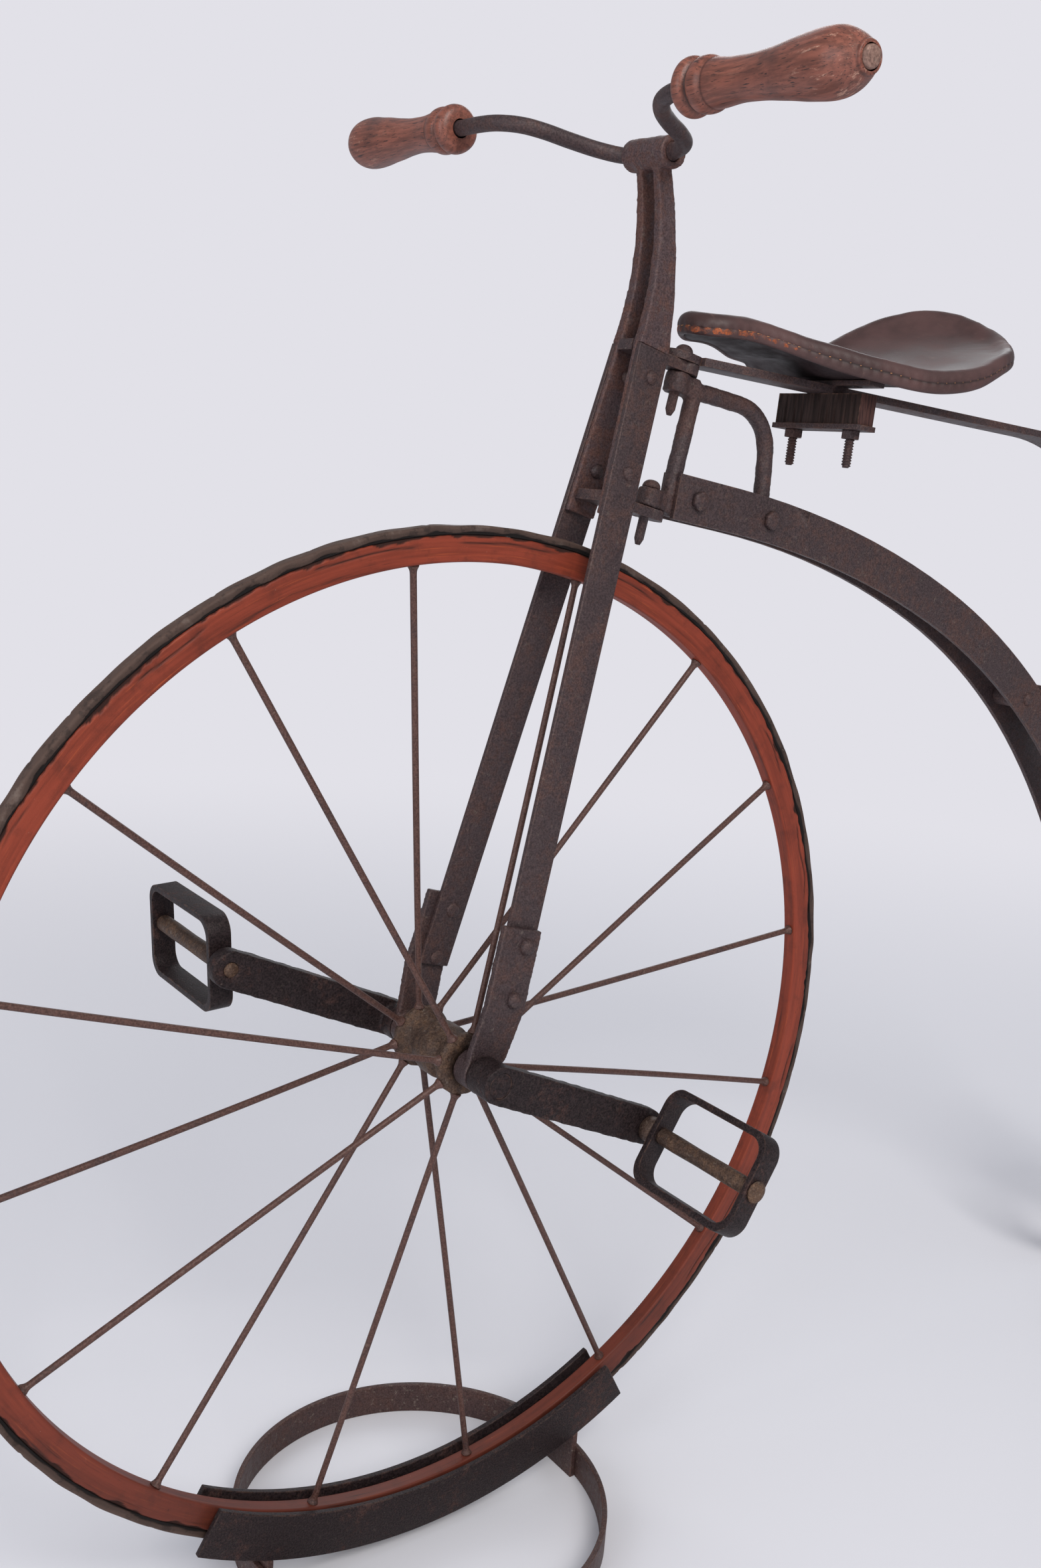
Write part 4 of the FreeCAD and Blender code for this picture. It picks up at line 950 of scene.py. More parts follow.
class BICYCLE_OT_hubs(bpy.types.Operator):
    """Cast hubs with rounded flanges, the front one's oil plug, the cranks and the pedals"""
    bl_idname = "bicycle.hubs"
    bl_label = "Hubs, Cranks and Pedals"

    def execute(self, context):
        mesh_piece("front_hub_cast", [turned(FRONT_HUB, HUB, ACROSS, 72, 0.25 * MM, 3),
                                      turned(OIL_PLUG, HUB, OIL_PLUG_WAY, 24)],
                   "front_wheel", "iron", iron("hub"), ("front_hub",))
        mesh_piece("rear_hub_cast", [turned(BACK_HUB, REAR_HUB, ACROSS, 60, 0.2 * MM, 4)],
                   "rear_wheel", "iron", iron("forged"), ("rear_hub",))
        for seed, (_, side) in enumerate(SIDES):
            cast_copy("crank_" + side, iron("forged"), 0.9 * MM, 5, 0.22 * MM, 20 + seed)
            strap = worn_bar("pedal_" + side, iron("forged"), 0.9 * MM)
            if side == "left":
                self.spread(strap, np.array(JOINTS["left_pedal_spin"]["pos_m"]))
        for sign, side in SIDES:
            middle = np.array(JOINTS[side + "_pedal_spin"]["pos_m"])
            pin = turned(pin_profile(PIN_STRAP[side]), middle * [1, 0, 1], ACROSS * sign, 32,
                         0.1 * MM, 9)
            mesh_piece("pedal_pin_" + side + "_worn", [pin], "front_wheel", "iron", iron("hub"),
                       ("pedal_pin_" + side,))
        return {"FINISHED"}

    def spread(self, strap, middle):
        """The left loop stands a little further from its pin than the right one: its points
        move along its height, by a share of their distance from the pin."""
        points = vertex_rows(strap)
        tall = np.array([math.sin(PEDAL_TILT), 0, math.cos(PEDAL_TILT)])
        off = (points - middle) @ tall
        move_vertices(strap, points + (off * PEDAL_SPREAD)[:, None] * tall)


# ---------------------------------------------------------------- fork and head
RAKE = math.radians(13.6)
FORK_UP = np.array([-math.sin(RAKE), 0, math.cos(RAKE)])
FORK_FORE = np.array([math.cos(RAKE), 0, math.sin(RAKE)])
BLADE_THICKNESS = 3.6 * MM
BLADE_LINE = ((43.5, 41.3), (452.0, 12.0))      # height up the fork, and a blade's middle there
# for each side: height up the fork, distance forward and size of a rivet, and for its outer
# and inner heads the plate on the blade, the share of the size and the rise
RIVETS = ((434.6, -8.0, "rivet_radius", (0.0, 1.0, 2.5), (3.6, 1.05, 3.2)),
          (374.8, -7.2, "rivet_radius", (0.0, 1.0, 2.5), (3.6, 1.05, 3.2)),
          (81.6, -7.0, "lug_rivet_radius", (5.0, 1.0, 4.8), (0.0, 0.95, 1.6)),
          (48.6, -6.4, "lug_rivet_radius", (5.0, 1.0, 4.8), (0.0, 0.95, 1.6)))


def blade_middle(height):
    """Distance of a blade's middle from the machine's, at a height along the fork."""
    low, high = BLADE_LINE
    slope = (high[1] - low[1]) / (high[0] - low[0])
    return (low[1] + slope * (height / MM - low[0])) * MM


def on_fork(height, fore, across):
    return HUB + FORK_UP * height + FORK_FORE * fore + ACROSS * across


def head_shape(spot, way, radius, height, seed, kind="round"):
    """A hammered rivet head: a quarter ellipse of revolution, its radius uneven by a few
    percent. The hex kind is a worn six-sided head with a low crown."""
    t = np.linspace(0, math.pi / 2, 7)
    profile = np.stack([np.sin(t) * height, np.cos(t) ** 0.8 * radius], -1)
    profile = np.vstack([[(-0.4 * MM, 0), (-0.4 * MM, radius)], profile])
    if kind == "hex":
        levels = [(-0.4, 0), (-0.4, 1), (0.7, 1), (0.86, 0.9), (0.97, 0.6), (1, 0)]
        profile = np.array([(s * (height if s > 0 else MM), r * radius) for s, r in levels])
    points, *wraps = turned(profile, spot, way, 36)
    axis, side, other = ring_about(way)
    off = points - spot
    angle = np.arctan2(off @ other, off @ side)
    rng = np.random.default_rng(seed)
    scale = 1 + 0.05 * np.sin(3 * angle + rng.uniform(0, 6)) * rng.uniform(0.3, 1)
    if kind == "hex":
        flat = np.abs((angle + rng.uniform(0, 6)) % (math.pi / 3) - math.pi / 6)
        scale = 1 / np.cos(flat) * math.cos(math.pi / 6) * 1.06
        scale = np.minimum(scale, 1.02)
    return (stretch_off(points, spot, axis, scale), *wraps)


class BICYCLE_OT_fork(bpy.types.Operator):
    """Flat blades, riveted end lugs, forged yoke and brackets of the head"""
    bl_idname = "bicycle.fork"
    bl_label = "Fork and Head"

    def execute(self, context):
        for seed, (_, side) in enumerate(SIDES):
            worn_bar("fork_blade_" + side, iron("old"))
            cast_copy("fork_end_" + side, iron("old"), 0.8 * MM, 3, 0.15 * MM, 40 + seed)
        cast_copy("yoke", iron("yoke"), 0.85 * MM, 3, 0.18 * MM, 50)
        for name in ("upper_bracket", "lower_bracket"):
            worn_bar(name, iron("old"), 0.8 * MM)
        mesh_piece("fork_rivets", self.rivets(60), "fork_and_stand", "bolt_iron", iron("bolt"))
        for name in ("upper_steering_bolt", "lower_steering_bolt"):
            self.steering_bolt(name)
        return {"FINISHED"}

    def rivets(self, seed):
        """Heads on both faces of both blades, each a little different."""
        heads = []
        for sign, _ in SIDES:
            for height, fore, kind, *faces in RIVETS:
                for face, (plate, share, rise) in zip((1, -1), faces):
                    across = blade_middle(height * MM) + face * (BLADE_THICKNESS / 2 + plate * MM)
                    spot = on_fork(height * MM, fore * MM, sign * across)
                    heads.append(head_shape(spot, ACROSS * sign * face,
                                            getattr(sizes(), kind) * share, rise * MM, seed))
                    seed += 1
        return heads

    def steering_bolt(self, name):
        """A domed bolt with a plain shank that ends in a turned-down point."""
        axis = unit(np.array(JOINTS["steering"]["axis"]))
        foot, top = axis_ends(name, axis)
        size = np.linalg.norm(top - foot)
        profile = [(0, 0), (0.2 * MM, 1.6 * MM), (4 * MM, 3.1 * MM),
                   (size - 5.3 * MM, 3.2 * MM), (size - 5.2 * MM, 5.7 * MM)]
        profile += [(size - 5 * MM * (1 - math.sin(t)), 5.9 * MM * math.cos(t) ** 0.85)
                    for t in np.linspace(0, math.pi / 2, 9)[:-1]]
        profile += [(size, 0)]
        mesh_piece(name + "_domed", [turned(profile, foot, axis, 40, 0.12 * MM, 7)],
                   BODY_OF[name], "bolt_iron", iron("bolt"), (name,))


def axis_ends(node, axis, sign=0):
    """Middles of the two end faces of a CAD rod: the middle of its points within half a
    millimetre of the lower end, and the same carried up by the rod's length. A sign keeps
    only the points on that side of the machine."""
    points = vertex_rows(NODES[node].data)
    points = points[points[:, 1] * sign >= 0]
    along = points @ axis
    near = points[np.abs(along - along.min()) < 0.5 * MM]
    base = (near.min(0) + near.max(0)) / 2
    return base, base + axis * (along.max() - along.min())


# ---------------------------------------------------------------- handlebar
GRIP_PROFILE = ((0, 5.8), (0.1, 9.6), (1.2, 12.4), (3.5, 14.3), (6.5, 14.8), (9.2, 14.0),
                (10.8, 12.2), (11.6, 11.6), (12.6, 12.0), (14.0, 13.3), (17.0, 14.0),
                (20.5, 13.8), (23.0, 12.8), (24.2, 12.2), (28.0, 12.0), (38.0, 11.1),
                (50.0, 10.8), (62.0, 11.4), (78.0, 13.2), (95.0, 15.1), (106.0, 16.0),
                (114.0, 15.6), (120.5, 13.8), (125.5, 11.2), (129.0, 8.9), (130.6, 7.8),
                (132.0, 7.5), (132.3, 6.0))
GRIP_START = {"left": 8.0, "right": 1.5}        # collar from the grip's inner end
# along the grip, width and darkness of the turned grooves
GRIP_GROOVES = ((11.4, 0.9, 1.0), (24.4, 0.8, 0.7), (130.6, 0.5, 0.5))
BAR_TIP = np.array([(128, 0), (128, 5.6), (133.0, 5.5), (133.9, 4.9), (134.1, 3.0),
                    (133.8, 0)]) * MM

# the bar's middle line, from the right grip to the left: across the machine, and forward of
# the clamp barrel in the plane that holds both
BAR_LINE = ((-140, 72.4), (-118, 72.4), (-98, 72.6), (-81, 73.0), (-64, 71.0), (-50, 63.5),
            (-43, 51.0), (-39.5, 34.0), (-34, 16.0), (-25, 3.5), (-12, 0.0), (0, 0.0), (12, 0.0),
            (26, 2.5), (39.5, 10.0), (49.5, 23.0), (57, 37.0), (67.5, 52.0), (81, 64.0),
            (97, 71.0), (112, 72.4), (140, 72.4))
BARREL_SPOT = np.array([-108.6, 0.0, 550.4])
BAR_PLANE = np.array([71.6, 0.0, 10.6])         # forward from the barrel, in the bar's plane
BAR_TILT = math.radians(2.3)
BAR_ACROSS = np.array([0, math.cos(BAR_TILT), -math.sin(BAR_TILT)])
BAR_RADIUS, BARREL_SWELL, BARREL_END = 4.75, 0.85, (17, 22)


class BICYCLE_OT_handlebar(bpy.types.Operator):
    """Turned wooden grips with ring collars, and the hammered ends of the bar"""
    bl_idname = "bicycle.handlebar"
    bl_label = "Handlebar and Grips"

    def execute(self, context):
        self.bar()
        for sign, side in SIDES:
            low, _ = axis_ends("grip_" + side, BAR_ACROSS * sign)
            self.grip(side, low, BAR_ACROSS * sign)
            tip = turned(BAR_TIP, low, BAR_ACROSS * sign, 32, 0.35 * MM, 8)
            mesh_piece("bar_end_" + side, [tip], "fork_and_stand", "grip_wood", iron("bar_end"))
        return {"FINISHED"}

    def grip(self, side, low, axis):
        """A lathe surface, uneven by a percent, with its rubbed end and grooves kept as
        shares for the material."""
        profile = smooth_line(np.array(GRIP_PROFILE) * MM, 150)
        lengthwise = profile[:, :1] / MM
        late = GRIP_START[side] * MM
        profile[:, 0] = late + profile[:, 0] * (1 - late / profile[-1, 0])
        points, *wraps = turned(profile, low, axis, 64)
        points = stretch_off(points, low, axis, 1 + 0.012 * ripple(points, 20 * MM, 80))
        groove = sum(dark * np.exp(-((lengthwise - at) / wide) ** 2)
                     for at, wide, dark in GRIP_GROOVES)
        mesh_piece("grip_" + side + "_turned", [(points, *wraps)], "fork_and_stand",
                   "grip_wood", grip_wood(), ("grip_" + side,),
                   rubbed=step_between(lengthwise, 80, 118) + 0.12,
                   groove=np.clip(groove, 0, 1))

    def bar(self):
        """A round rod swept along the bar's line: its ring stands square to the line, and its
        radius swells inside the clamp barrel to fill it."""
        line = smooth_line(np.array(BAR_LINE), 260)
        middle = BARREL_SPOT + line[:, :1] * BAR_ACROSS + line[:, 1:] * unit(BAR_PLANE)
        run = unit(np.gradient(middle, axis=0))
        up = unit(np.cross(BAR_PLANE, BAR_ACROSS))
        inside = 1 - step_between(np.abs(line[:, :1]), *BARREL_END)
        radius = BAR_RADIUS + BARREL_SWELL * inside
        radius[[0, -1]] = 0
        points = rings(middle, radius, up, np.cross(run, up), 28)
        mesh_piece("handlebar_bent", [(HUB + points * MM, False, True)], "fork_and_stand", "iron",
                   iron("old"), ("handlebar",))


# ---------------------------------------------------------------- backbone
SPINE_BOLTS = ((-164.4, 348.8), (-230.2, 339.4))    # behind and over the hub
SPINE_FACE = 8.5                                    # outer face of a spine bar, from the middle
SPACER_PLATE = 3.4 * MM                             # the spine bar beside its spacer
SPRING_EYE = (26 * MM, 16 * MM)                     # from the leaf's front, where it narrows
EYE_NARROWING = 0.3
SAW_PITCH, SAW_DEPTH = 0.62 * MM, 0.7 * MM
CLAMP_SLOPE = math.radians(3.0)
CLAMP_BOLT = {"across": 26.5 * MM, "radius": 3.4 * MM, "shank": 44.5 * MM,
              "nut_at": 19.0 * MM, "nut_radius": 6.6 * MM, "nut_height": 5.4 * MM}


class BICYCLE_OT_backbone(bpy.types.Operator):
    """Spine bars, cast neck, seat spring, the saddle's clamp and their bolts"""
    bl_idname = "bicycle.backbone"
    bl_label = "Backbone and Clamp"

    def execute(self, context):
        for _, side in SIDES:
            worn_bar("spine_" + side, iron("old"))
        cast_copy("neck_casting", iron("old"), 0.9 * MM, 16, 0.22 * MM, 90)
        self.spring()
        for node in ("clamp_plate_lower", "clamp_plate_upper"):
            worn_bar(node, iron("old"), 0.5 * MM)
        self.block()
        mesh_piece("spine_bolt_heads", self.spine_bolts(), "backbone", "bolt_iron", iron("bolt"))
        mesh_piece("clamp_bolts_threaded", self.clamp_bolts(), "backbone", "bolt_iron",
                   iron("bolt"), ("clamp_bolts",))
        return {"FINISHED"}

    def spring(self):
        """The leaf, its width drawn in at the eye by a smooth step along the machine."""
        leaf = worn_bar("seat_spring", iron("old"), 0.9 * MM)
        points = vertex_rows(leaf)
        front = points[:, 0].max()
        eye = step_between(points[:, 0], front - SPRING_EYE[0], front - SPRING_EYE[1])
        points[:, 1] *= 1 - EYE_NARROWING * eye
        move_vertices(leaf, points)

    def spine_bolts(self):
        """Heads of the bolts through the spine bars, and of the one through the spacer."""
        heads = []
        for seed, (back, up) in enumerate(SPINE_BOLTS):
            for sign, _ in SIDES:
                spot = HUB + np.array([back, sign * SPINE_FACE, up]) * MM
                heads.append(head_shape(spot, ACROSS * sign, sizes().spine_bolt_radius,
                                        4.2 * MM, 100 + seed, "hex"))
        low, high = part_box("spine_spacer")
        for sign, _ in SIDES:
            out = (high.y - low.y) / 2 + SPACER_PLATE
            heads.append(head_shape(node_middle("spine_spacer") + ACROSS * sign * out,
                                    ACROSS * sign, 5.2 * MM, 3.4 * MM, 104))
        return heads

    def block(self):
        """The block with saw grooves in its long faces: it is cut into narrow slices, whose
        points sink along their normals where a ripple of their place across runs high."""
        mesh = NODES["saddle_block"].data.copy()
        low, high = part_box("saddle_block")
        with edited(mesh) as bm:
            round_edges(bm, 0.6 * MM, 2, 0.005)
            for y in np.arange(low.y + 0.6 * MM, high.y, SAW_PITCH):
                whole = bm.verts[:] + bm.edges[:] + bm.faces[:]
                bmesh.ops.bisect_plane(bm, geom=whole, dist=1e-6, plane_co=(0, y, 0),
                                       plane_no=(0, 1, 0))
        points, normals = vertex_rows(mesh), vertex_rows(mesh, "normal")
        cut = step_between(ripple(points * ACROSS, 3.5 * MM, 110), 0.1, 0.7) * SAW_DEPTH
        facing = step_between(np.abs(normals[:, 0]), 0.7, 0.9)
        move_vertices(mesh, points - normals * (cut * facing)[:, None])
        placed("saddle_block_grooved", mesh, "backbone", block_wood(),
               ("saddle_block",))
        mesh.set_sharp_from_angle(angle=math.radians(30))

    def clamp_bolts(self):
        """Threaded bolts: the radius at height h and angle t falls and rises with the phase
        h over pitch less t over a full turn, so that the ridge climbs as a helix. The nuts
        are hexagons whose corners are turned off at both ends."""
        s = sizes()
        axis, side, other = ring_about([-math.sin(CLAMP_SLOPE), 0, math.cos(CLAMP_SLOPE)])
        turn = full_turn(28)
        shapes = []
        for sign, _ in SIDES:
            foot, top = axis_ends("clamp_bolts", axis, sign)
            foot = foot * [1, 0, 1] + ACROSS * sign * CLAMP_BOLT["across"]
            size = float((top - foot) @ axis)
            tall = min(size - 0.5 * MM, CLAMP_BOLT["shank"])
            rows = np.arange(0, tall, s.thread_pitch / 8)[:, None]
            phase = rows / s.thread_pitch - turn / (2 * math.pi)
            ridge = np.abs((phase % 1.0) - 0.5) * 2
            point = 0.72 + 0.28 * step_between(rows, 0, 1.6 * MM)
            radius = (CLAMP_BOLT["radius"] - s.thread_depth * ridge) * point
            line = foot + rows * axis
            shank = closed(rings(line, radius, side, other, len(turn)), line)
            shapes += [(shank, False, True),
                       nut_shape(foot + axis * CLAMP_BOLT["nut_at"], axis,
                                 CLAMP_BOLT["nut_radius"], CLAMP_BOLT["nut_height"], 0.3 + sign),
                       head_shape(foot + axis * (size - 0.3 * MM), axis, 4.2 * MM, 0.9 * MM, 7)]
        return shapes


def nut_shape(foot, axis, radius, height, start):
    """A hexagon prism: at angle t the radius is the flat's distance over cos of the angle
    from the flat's middle, held under a cone at both ends, which turns the corners off."""
    axis, side, other = ring_about(axis)
    t = full_turn(72)
    flat = (t - start) % (math.pi / 3) - math.pi / 6
    hexagon = radius * math.cos(math.pi / 6) / np.cos(flat)
    level = np.array([0, 0, 0.05, 0.12, 0.25, 0.5, 0.75, 0.88, 0.95, 1, 1])[:, None] * height
    r = np.minimum(hexagon, radius * 0.9 + np.minimum(level, height - level) * 1.6)
    r[[0, -1]] = 0
    return rings(foot + level * axis, r, side, other, len(t)), False, True


# ---------------------------------------------------------------- saddle
SADDLE_STATIONS = np.array([
    # behind the hub, half width, height of the edges' mean, degrees the left side hangs, crown
    (-142.0, 3.0, 449.6, 3.7, 0.5), (-148.0, 9.5, 450.0, 3.7, 1.0), (-153.5, 16.0, 450.4, 3.7, 2.0),
    (-166.0, 22.4, 451.0, 3.8, 3.0), (-190.0, 26.5, 450.3, 3.9, 3.0),
    (-223.0, 41.0, 444.3, 4.2, 3.0), (-262.0, 60.0, 439.2, 4.8, 2.2),
    (-304.0, 74.0, 437.5, 5.6, 0.6), (-345.0, 77.0, 445.6, 6.4, -4.0),
    (-380.0, 70.5, 461.8, 9.8, -7.0), (-401.0, 57.0, 469.5, 14.4, -6.0),
    (-417.0, 41.0, 475.0, 18.6, -4.0), (-428.0, 20.0, 479.0, 20.0, -1.0),
    (-434.0, 4.0, 481.0, 20.0, 0.0)])
SADDLE_OUTLINE = ((-147.0, 0.0), (-147.6, 5.0), (-149.6, 10.5), (-154.5, 16.6), (-166.0, 22.4),
                  (-190.0, 26.5), (-223.0, 41.0), (-262.0, 60.0), (-304.0, 74.0),
                  (-345.0, 77.3), (-380.0, 70.5), (-401.0, 57.6), (-417.5, 41.0),
                  (-428.0, 21.0), (-431.5, 0.0))
# distance in from the edge and height over the underside, from below, out and over the roll
ROLL_SECTION = ((9.0, 0.0), (6.2, 0.0), (5.3, -0.8), (4.4, -2.3), (2.6, -2.7), (0.9, -1.6),
                (0.15, 0.6), (0.3, 2.4), (0.5, 3.2),
                (0.15, 3.9), (0.0, 5.4), (0.35, 7.4), (1.5, 9.2), (3.6, 10.4), (6.2, 10.7),
                (8.8, 10.1), (11.2, 9.1), (13.6, 8.3), (16.5, 8.0))
UNDERSIDE = 2.3                 # leather's underside over the pan's
ROLL_DEPTH = 16.5


def saddle_point(x, y, height, outline_half):
    """Height of the saddle over the frame at a plan point: the edges' mean, less the hang of
    the left side, plus the crown or dish as one less the squared share of the half width."""
    table = SADDLE_STATIONS[np.argsort(SADDLE_STATIONS[:, 0])]
    curve = smooth_line(table, 40 * len(table))
    _, edge, hang, crown = (np.interp(x, curve[:, 0], curve[:, k]) for k in (1, 2, 3, 4))
    hang = np.radians(hang)
    z = edge - y * np.sin(hang) + crown * (1 - np.clip(y / outline_half, -1, 1) ** 2)
    return np.stack([x, y * np.cos(hang), z + UNDERSIDE + height], -1)


def saddle_outline(count):
    """Closed plan outline, left side from nose to tail and back along the right, at even
    steps of its length."""
    left = smooth_line(np.array(SADDLE_OUTLINE), 400)
    whole = np.vstack([left, left[-2:0:-1] * [1, -1]])
    closed = np.vstack([whole, whole[:1]])
    run = np.concatenate([[0], np.cumsum(np.linalg.norm(np.diff(closed, axis=0), axis=1))])
    at = np.linspace(0, run[-1], count, endpoint=False)
    return np.stack([np.interp(at, run, closed[:, 0]), np.interp(at, run, closed[:, 1])], -1), \
        at, run[-1]


def far_drop(points):
    """How far the underside has sagged along the right of the nose and the right flank."""
    back, right = -points[..., 0], -points[..., 1]
    nose = step_between(back, 148, 166) * (1 - step_between(back, 212, 258))
    flank = step_between(right, 44, 60) * step_between(back, 225, 285)
    flank *= 1 - step_between(back, 335, 370)
    return 3.4 * nose * step_between(right, -12, 14) + 3.6 * flank


def saddle_place(edge, inset, height):
    """A point a distance in from the outline towards the saddle's middle line."""
    middle = np.stack([np.clip(edge[..., 0], -384.0, -180.0), 0 * edge[..., 1]], -1)
    reach = np.linalg.norm(edge - middle, axis=-1)
    plan = edge + (middle - edge) * (inset / reach)[..., None]
    table = SADDLE_STATIONS[np.argsort(SADDLE_STATIONS[:, 0])]
    half = np.maximum(np.interp(plan[..., 0], table[:, 0], table[:, 1]), 6.0)
    return saddle_point(plan[..., 0], plan[..., 1], height, half), reach


class BICYCLE_OT_saddle(bpy.types.Operator):
    """Leather saddle with a rolled, puckered and hand-stitched edge"""
    bl_idname = "bicycle.saddle"
    bl_label = "Saddle"

    def execute(self, context):
        s = sizes()
        edge, at, whole = saddle_outline(784)
        roll = smooth_line(np.array(ROLL_SECTION), 44)
        reach = saddle_place(edge, np.zeros(len(edge)), 0.0)[1]
        squeeze = np.minimum(1.0, reach * 0.8 / ROLL_DEPTH)[:, None]
        inner = np.array([0.12, 0.28, 0.46, 0.64, 0.82, 1.0])
        start = roll[-1, 0] * squeeze
        top_inset = start + (reach[:, None] - start) * inner
        low_start = roll[0, 0] * squeeze
        low_inset = (low_start + (reach[:, None] - low_start) * inner[::-1])
        inset = np.hstack([low_inset, roll[None, :, 0] * squeeze, top_inset])
        shape = (len(edge), 1)
        height = np.hstack([np.zeros((len(edge), len(inner))),
                            np.broadcast_to(roll[None, :, 1], (len(edge), len(roll))),
                            np.broadcast_to(roll[-1, 1] - 0.15 * inner, (len(edge), len(inner)))])
        # puckers: the roll draws in beside each stitch
        phase = np.cos(2 * math.pi * at / whole * s.stitch_count).reshape(shape)
        near_seam = np.exp(-((height - 3.0) / 3.0) ** 2) * (inset < 5)
        swell = near_seam * (phase * 0.32) + 0.25 * near_seam
        inset = inset + np.where(inset < 8, swell * -1 + 0.25, 0)
        big = np.broadcast_to(edge[:, None, :], (*inset.shape, 2))
        points, _ = saddle_place(big, np.clip(inset, 0, None), height)
        back, left = -points[..., 0], points[..., 1]
        hang = step_between(left, 20, 45) * step_between(back, 200, 250)
        hang *= 1 - step_between(back, 330, 365)
        points[..., 2] -= 1.7 * hang * (1 - step_between(height, 0.5, 4.5))
        points[..., 2] -= far_drop(points) * (1 - step_between(height, -0.6, 1.4))
        sag = 0.5 * ripple(points * MM, 0.05, 120) + 0.12 * ripple(points * MM, 0.012, 121)
        points[..., 2] += sag * (height > 3)
        x = points[..., 0]
        seam = np.exp(-((height - 3.15) / 0.5) ** 2) * (inset < 4)
        nose = step_between(x, -262, -180) * (points[..., 1] > -40)
        tail = step_between(-x, 380, 425)
        lip = np.exp(-((height - 1.6) / 3.2) ** 2) * (inset < 5)
        worn = np.clip(lip * (nose * 0.72 + tail * 0.6 + 0.1) * (0.86 + 0.14 * phase), 0, 1)
        rubbed = tail * np.exp(-((height - 6.0) / 3.0) ** 2) * (inset < 6) * 0.9
        piece = mesh_piece("saddle_leather_stitched", [(HUB + points * MM, True, False)],
                           "backbone", "leather", leather(), ("saddle_leather",),
                           seam=seam * (0.8 - 0.6 * nose), worn=worn, rubbed=rubbed)
        close_middle(piece.data)
        self.stitches()
        self.pan(edge)
        return {"FINISHED"}

    def pan(self, edge):
        """The plate under the leather: a closed slab that keeps the saddle's own curve, its
        edge drawn in a few millimetres from the outline and rounded over."""
        reach = saddle_place(edge, np.zeros(len(edge)), 0.0)[1]
        section = np.array([(1.0, -0.25), (0.8, -0.25), (0.6, -0.25), (0.4, -0.25), (0.2, -0.25),
                            (0.0, -0.3), (0.0, -2.2), (0.2, -2.3), (0.4, -2.3), (0.6, -2.3),
                            (0.8, -2.3), (1.0, -2.3)])
        rim = np.minimum(5.4, reach * 0.4)[:, None]
        inset = rim + (reach[:, None] - rim) * section[None, :, 0]
        height = np.broadcast_to(section[None, :, 1], inset.shape)
        big = np.broadcast_to(edge[:, None, :], (*inset.shape, 2))
        points, _ = saddle_place(big, inset, height)
        points[..., 2] -= far_drop(points) * (height < -1)
        # a pad under the middle comes down to the clamp's upper plate
        x, y, z = np.moveaxis(points, -1, 0)
        rest = 434.9 + math.tan(math.radians(3.0)) * (x + 279.5)
        pad = step_between(-x, 236, 262) * (1 - step_between(-x, 304, 336))
        pad *= 1 - step_between(np.abs(y), 45, 62)
        points[..., 2] -= pad * np.clip(z - rest, 0, None) * (height < -1)
        piece = mesh_piece("saddle_pan_curved", [(HUB + points * MM, True, False)], "backbone",
                           "iron", underside(), ("saddle_pan",))
        close_middle(piece.data)

    def stitches(self):
        """Each stitch is a thread that leaves the seam, bows out by the sine of pi t and goes
        in again, its radius the fourth root of that sine."""
        s = sizes()
        count = s.stitch_count
        edge, at, whole = saddle_outline(count * 16)
        pitch = whole / count
        t = np.linspace(0.02, 0.98, 9)
        start = (np.arange(count) + 0.5) * pitch - s.stitch_length / MM / 2
        along = (start[:, None] + t[None] * s.stitch_length / MM) % whole
        spot = np.stack([np.interp(along, at, edge[:, 0], period=whole),
                         np.interp(along, at, edge[:, 1], period=whole)], -1)
        lean = (t[None] - 0.5) * 0.9
        lift = np.sin(math.pi * t)[None]
        line, _ = saddle_place(spot, np.zeros(along.shape) + 0.45, 3.4 + lean)
        run = np.gradient(line, axis=1)
        run /= np.linalg.norm(run, axis=-1)[..., None]
        outward = np.cross(run, [0.0, 0.0, -1.0])
        outward /= np.linalg.norm(outward, axis=-1)[..., None]
        line = line + outward * lift[..., None]
        up = np.cross(outward, run)
        turn = np.linspace(0, 2 * math.pi, 8, endpoint=False)
        radius = 0.68 * lift ** 0.25
        ring = (outward[..., None, :] * np.cos(turn)[:, None]
                + up[..., None, :] * np.sin(turn)[:, None])
        points = line[..., None, :] + ring * radius[..., None, None]
        closed = np.concatenate([np.broadcast_to(line[:, :1, None], points[:, :1].shape), points,
                                 np.broadcast_to(line[:, -1:, None], points[:, :1].shape)], 1)
        mesh_piece("saddle_stitches", [(HUB + p * MM, False, True) for p in closed],
                   "backbone", "leather", thread())


def close_middle(mesh):
    """Fills what the outline's inner ends leave open along the saddle's middle line."""
    bm = bmesh.new()
    bm.from_mesh(mesh)
    bmesh.ops.remove_doubles(bm, verts=bm.verts, dist=0.02 * MM)
    rim = [e for e in bm.edges if len(e.link_faces) == 1]
    if rim:
        bmesh.ops.holes_fill(bm, edges=rim, sides=0)
    bmesh.ops.recalc_face_normals(bm, faces=bm.faces)
    bm.to_mesh(mesh)
    bm.free()


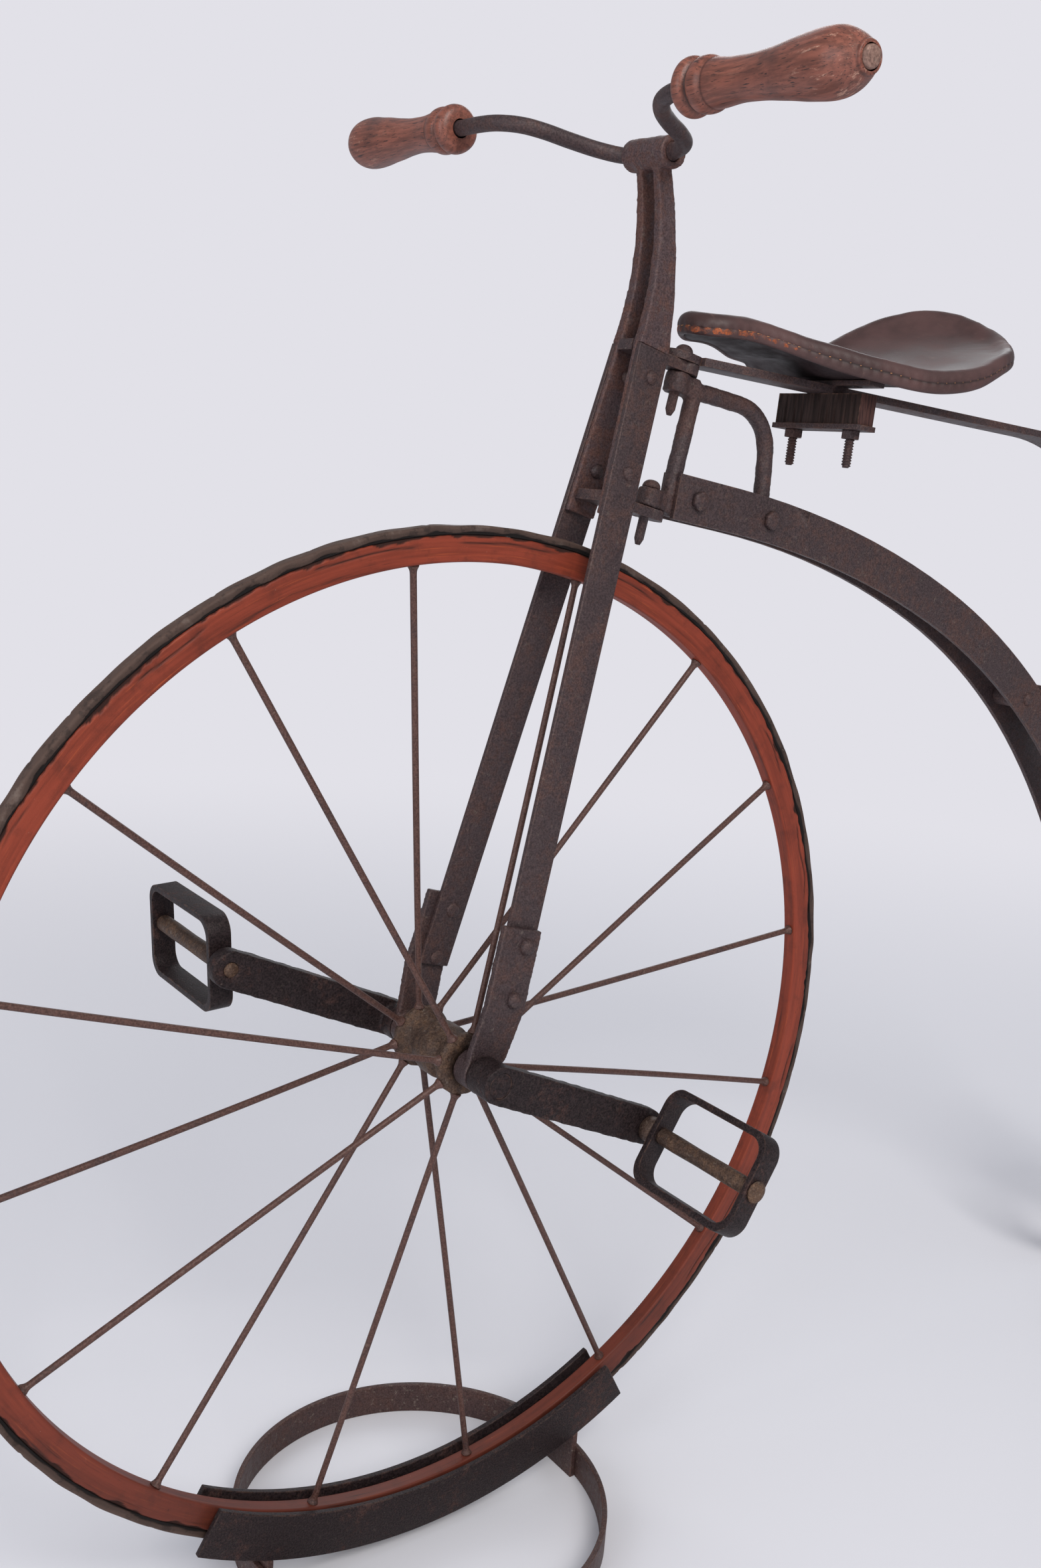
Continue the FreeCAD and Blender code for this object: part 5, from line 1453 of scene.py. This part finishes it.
# ---------------------------------------------------------------- stand and carried-over parts
class BICYCLE_OT_stand(bpy.types.Operator):
    """Flat-bar ring, legs and the cradle's cheeks"""
    bl_idname = "bicycle.stand"
    bl_label = "Stand"

    def execute(self, context):
        for node in ("stand_ring", "stand_leg_front", "stand_leg_rear"):
            worn_bar(node, iron("stand"))
        for _, side in SIDES:
            worn_bar("cradle_cheek_" + side, iron("forged"))
        return {"FINISHED"}


class BICYCLE_OT_carried(bpy.types.Operator):
    """Gives every CAD part that still shows its finish"""
    bl_idname = "bicycle.carried"
    bl_label = "Carried-over Parts"

    def execute(self, context):
        chosen = {"front_axle": "forged", "spine_spacer": "old", "rear_axle": "bolt"}
        for node, kind in chosen.items():
            NODES[node].data.materials[0] = iron(kind)
        left = [n for n, o in NODES.items() if not o.hide_render and n not in chosen]
        if left:
            raise RuntimeError(f"no finish chosen for {left}")
        return {"FINISHED"}


PIECES = (BICYCLE_OT_stage, BICYCLE_OT_wheels, BICYCLE_OT_spokes, BICYCLE_OT_hubs,
          BICYCLE_OT_fork, BICYCLE_OT_handlebar, BICYCLE_OT_backbone, BICYCLE_OT_saddle,
          BICYCLE_OT_stand, BICYCLE_OT_carried)


class BICYCLE_PT_panel(bpy.types.Panel):
    """Sizes, colours and the pieces in the order they are built"""
    bl_idname = "BICYCLE_PT_panel"
    bl_label = "High-Wheel Bicycle"
    bl_space_type = "VIEW_3D"
    bl_region_type = "UI"
    bl_category = "Bicycle"

    def draw(self, context):
        for operator in PIECES:
            self.layout.operator(operator.bl_idname)
        for group in (context.scene.bicycle_sizes, context.scene.bicycle_colours):
            box = self.layout.box()
            for key in type(group).__annotations__:
                box.prop(group, key)


CLASSES = (BICYCLE_PG_sizes, BICYCLE_PG_colours, *PIECES, BICYCLE_PT_panel)


def register():
    for cls in CLASSES:
        bpy.utils.register_class(cls)
    bpy.types.Scene.bicycle_sizes = PointerProperty(type=BICYCLE_PG_sizes)
    bpy.types.Scene.bicycle_colours = PointerProperty(type=BICYCLE_PG_colours)


def unregister():
    del bpy.types.Scene.bicycle_colours
    del bpy.types.Scene.bicycle_sizes
    for cls in reversed(CLASSES):
        bpy.utils.unregister_class(cls)


def main():
    register()
    for operator in PIECES:
        group, name = operator.bl_idname.split(".")
        getattr(getattr(bpy.ops, group), name)()


if __name__ == "__main__":
    main()
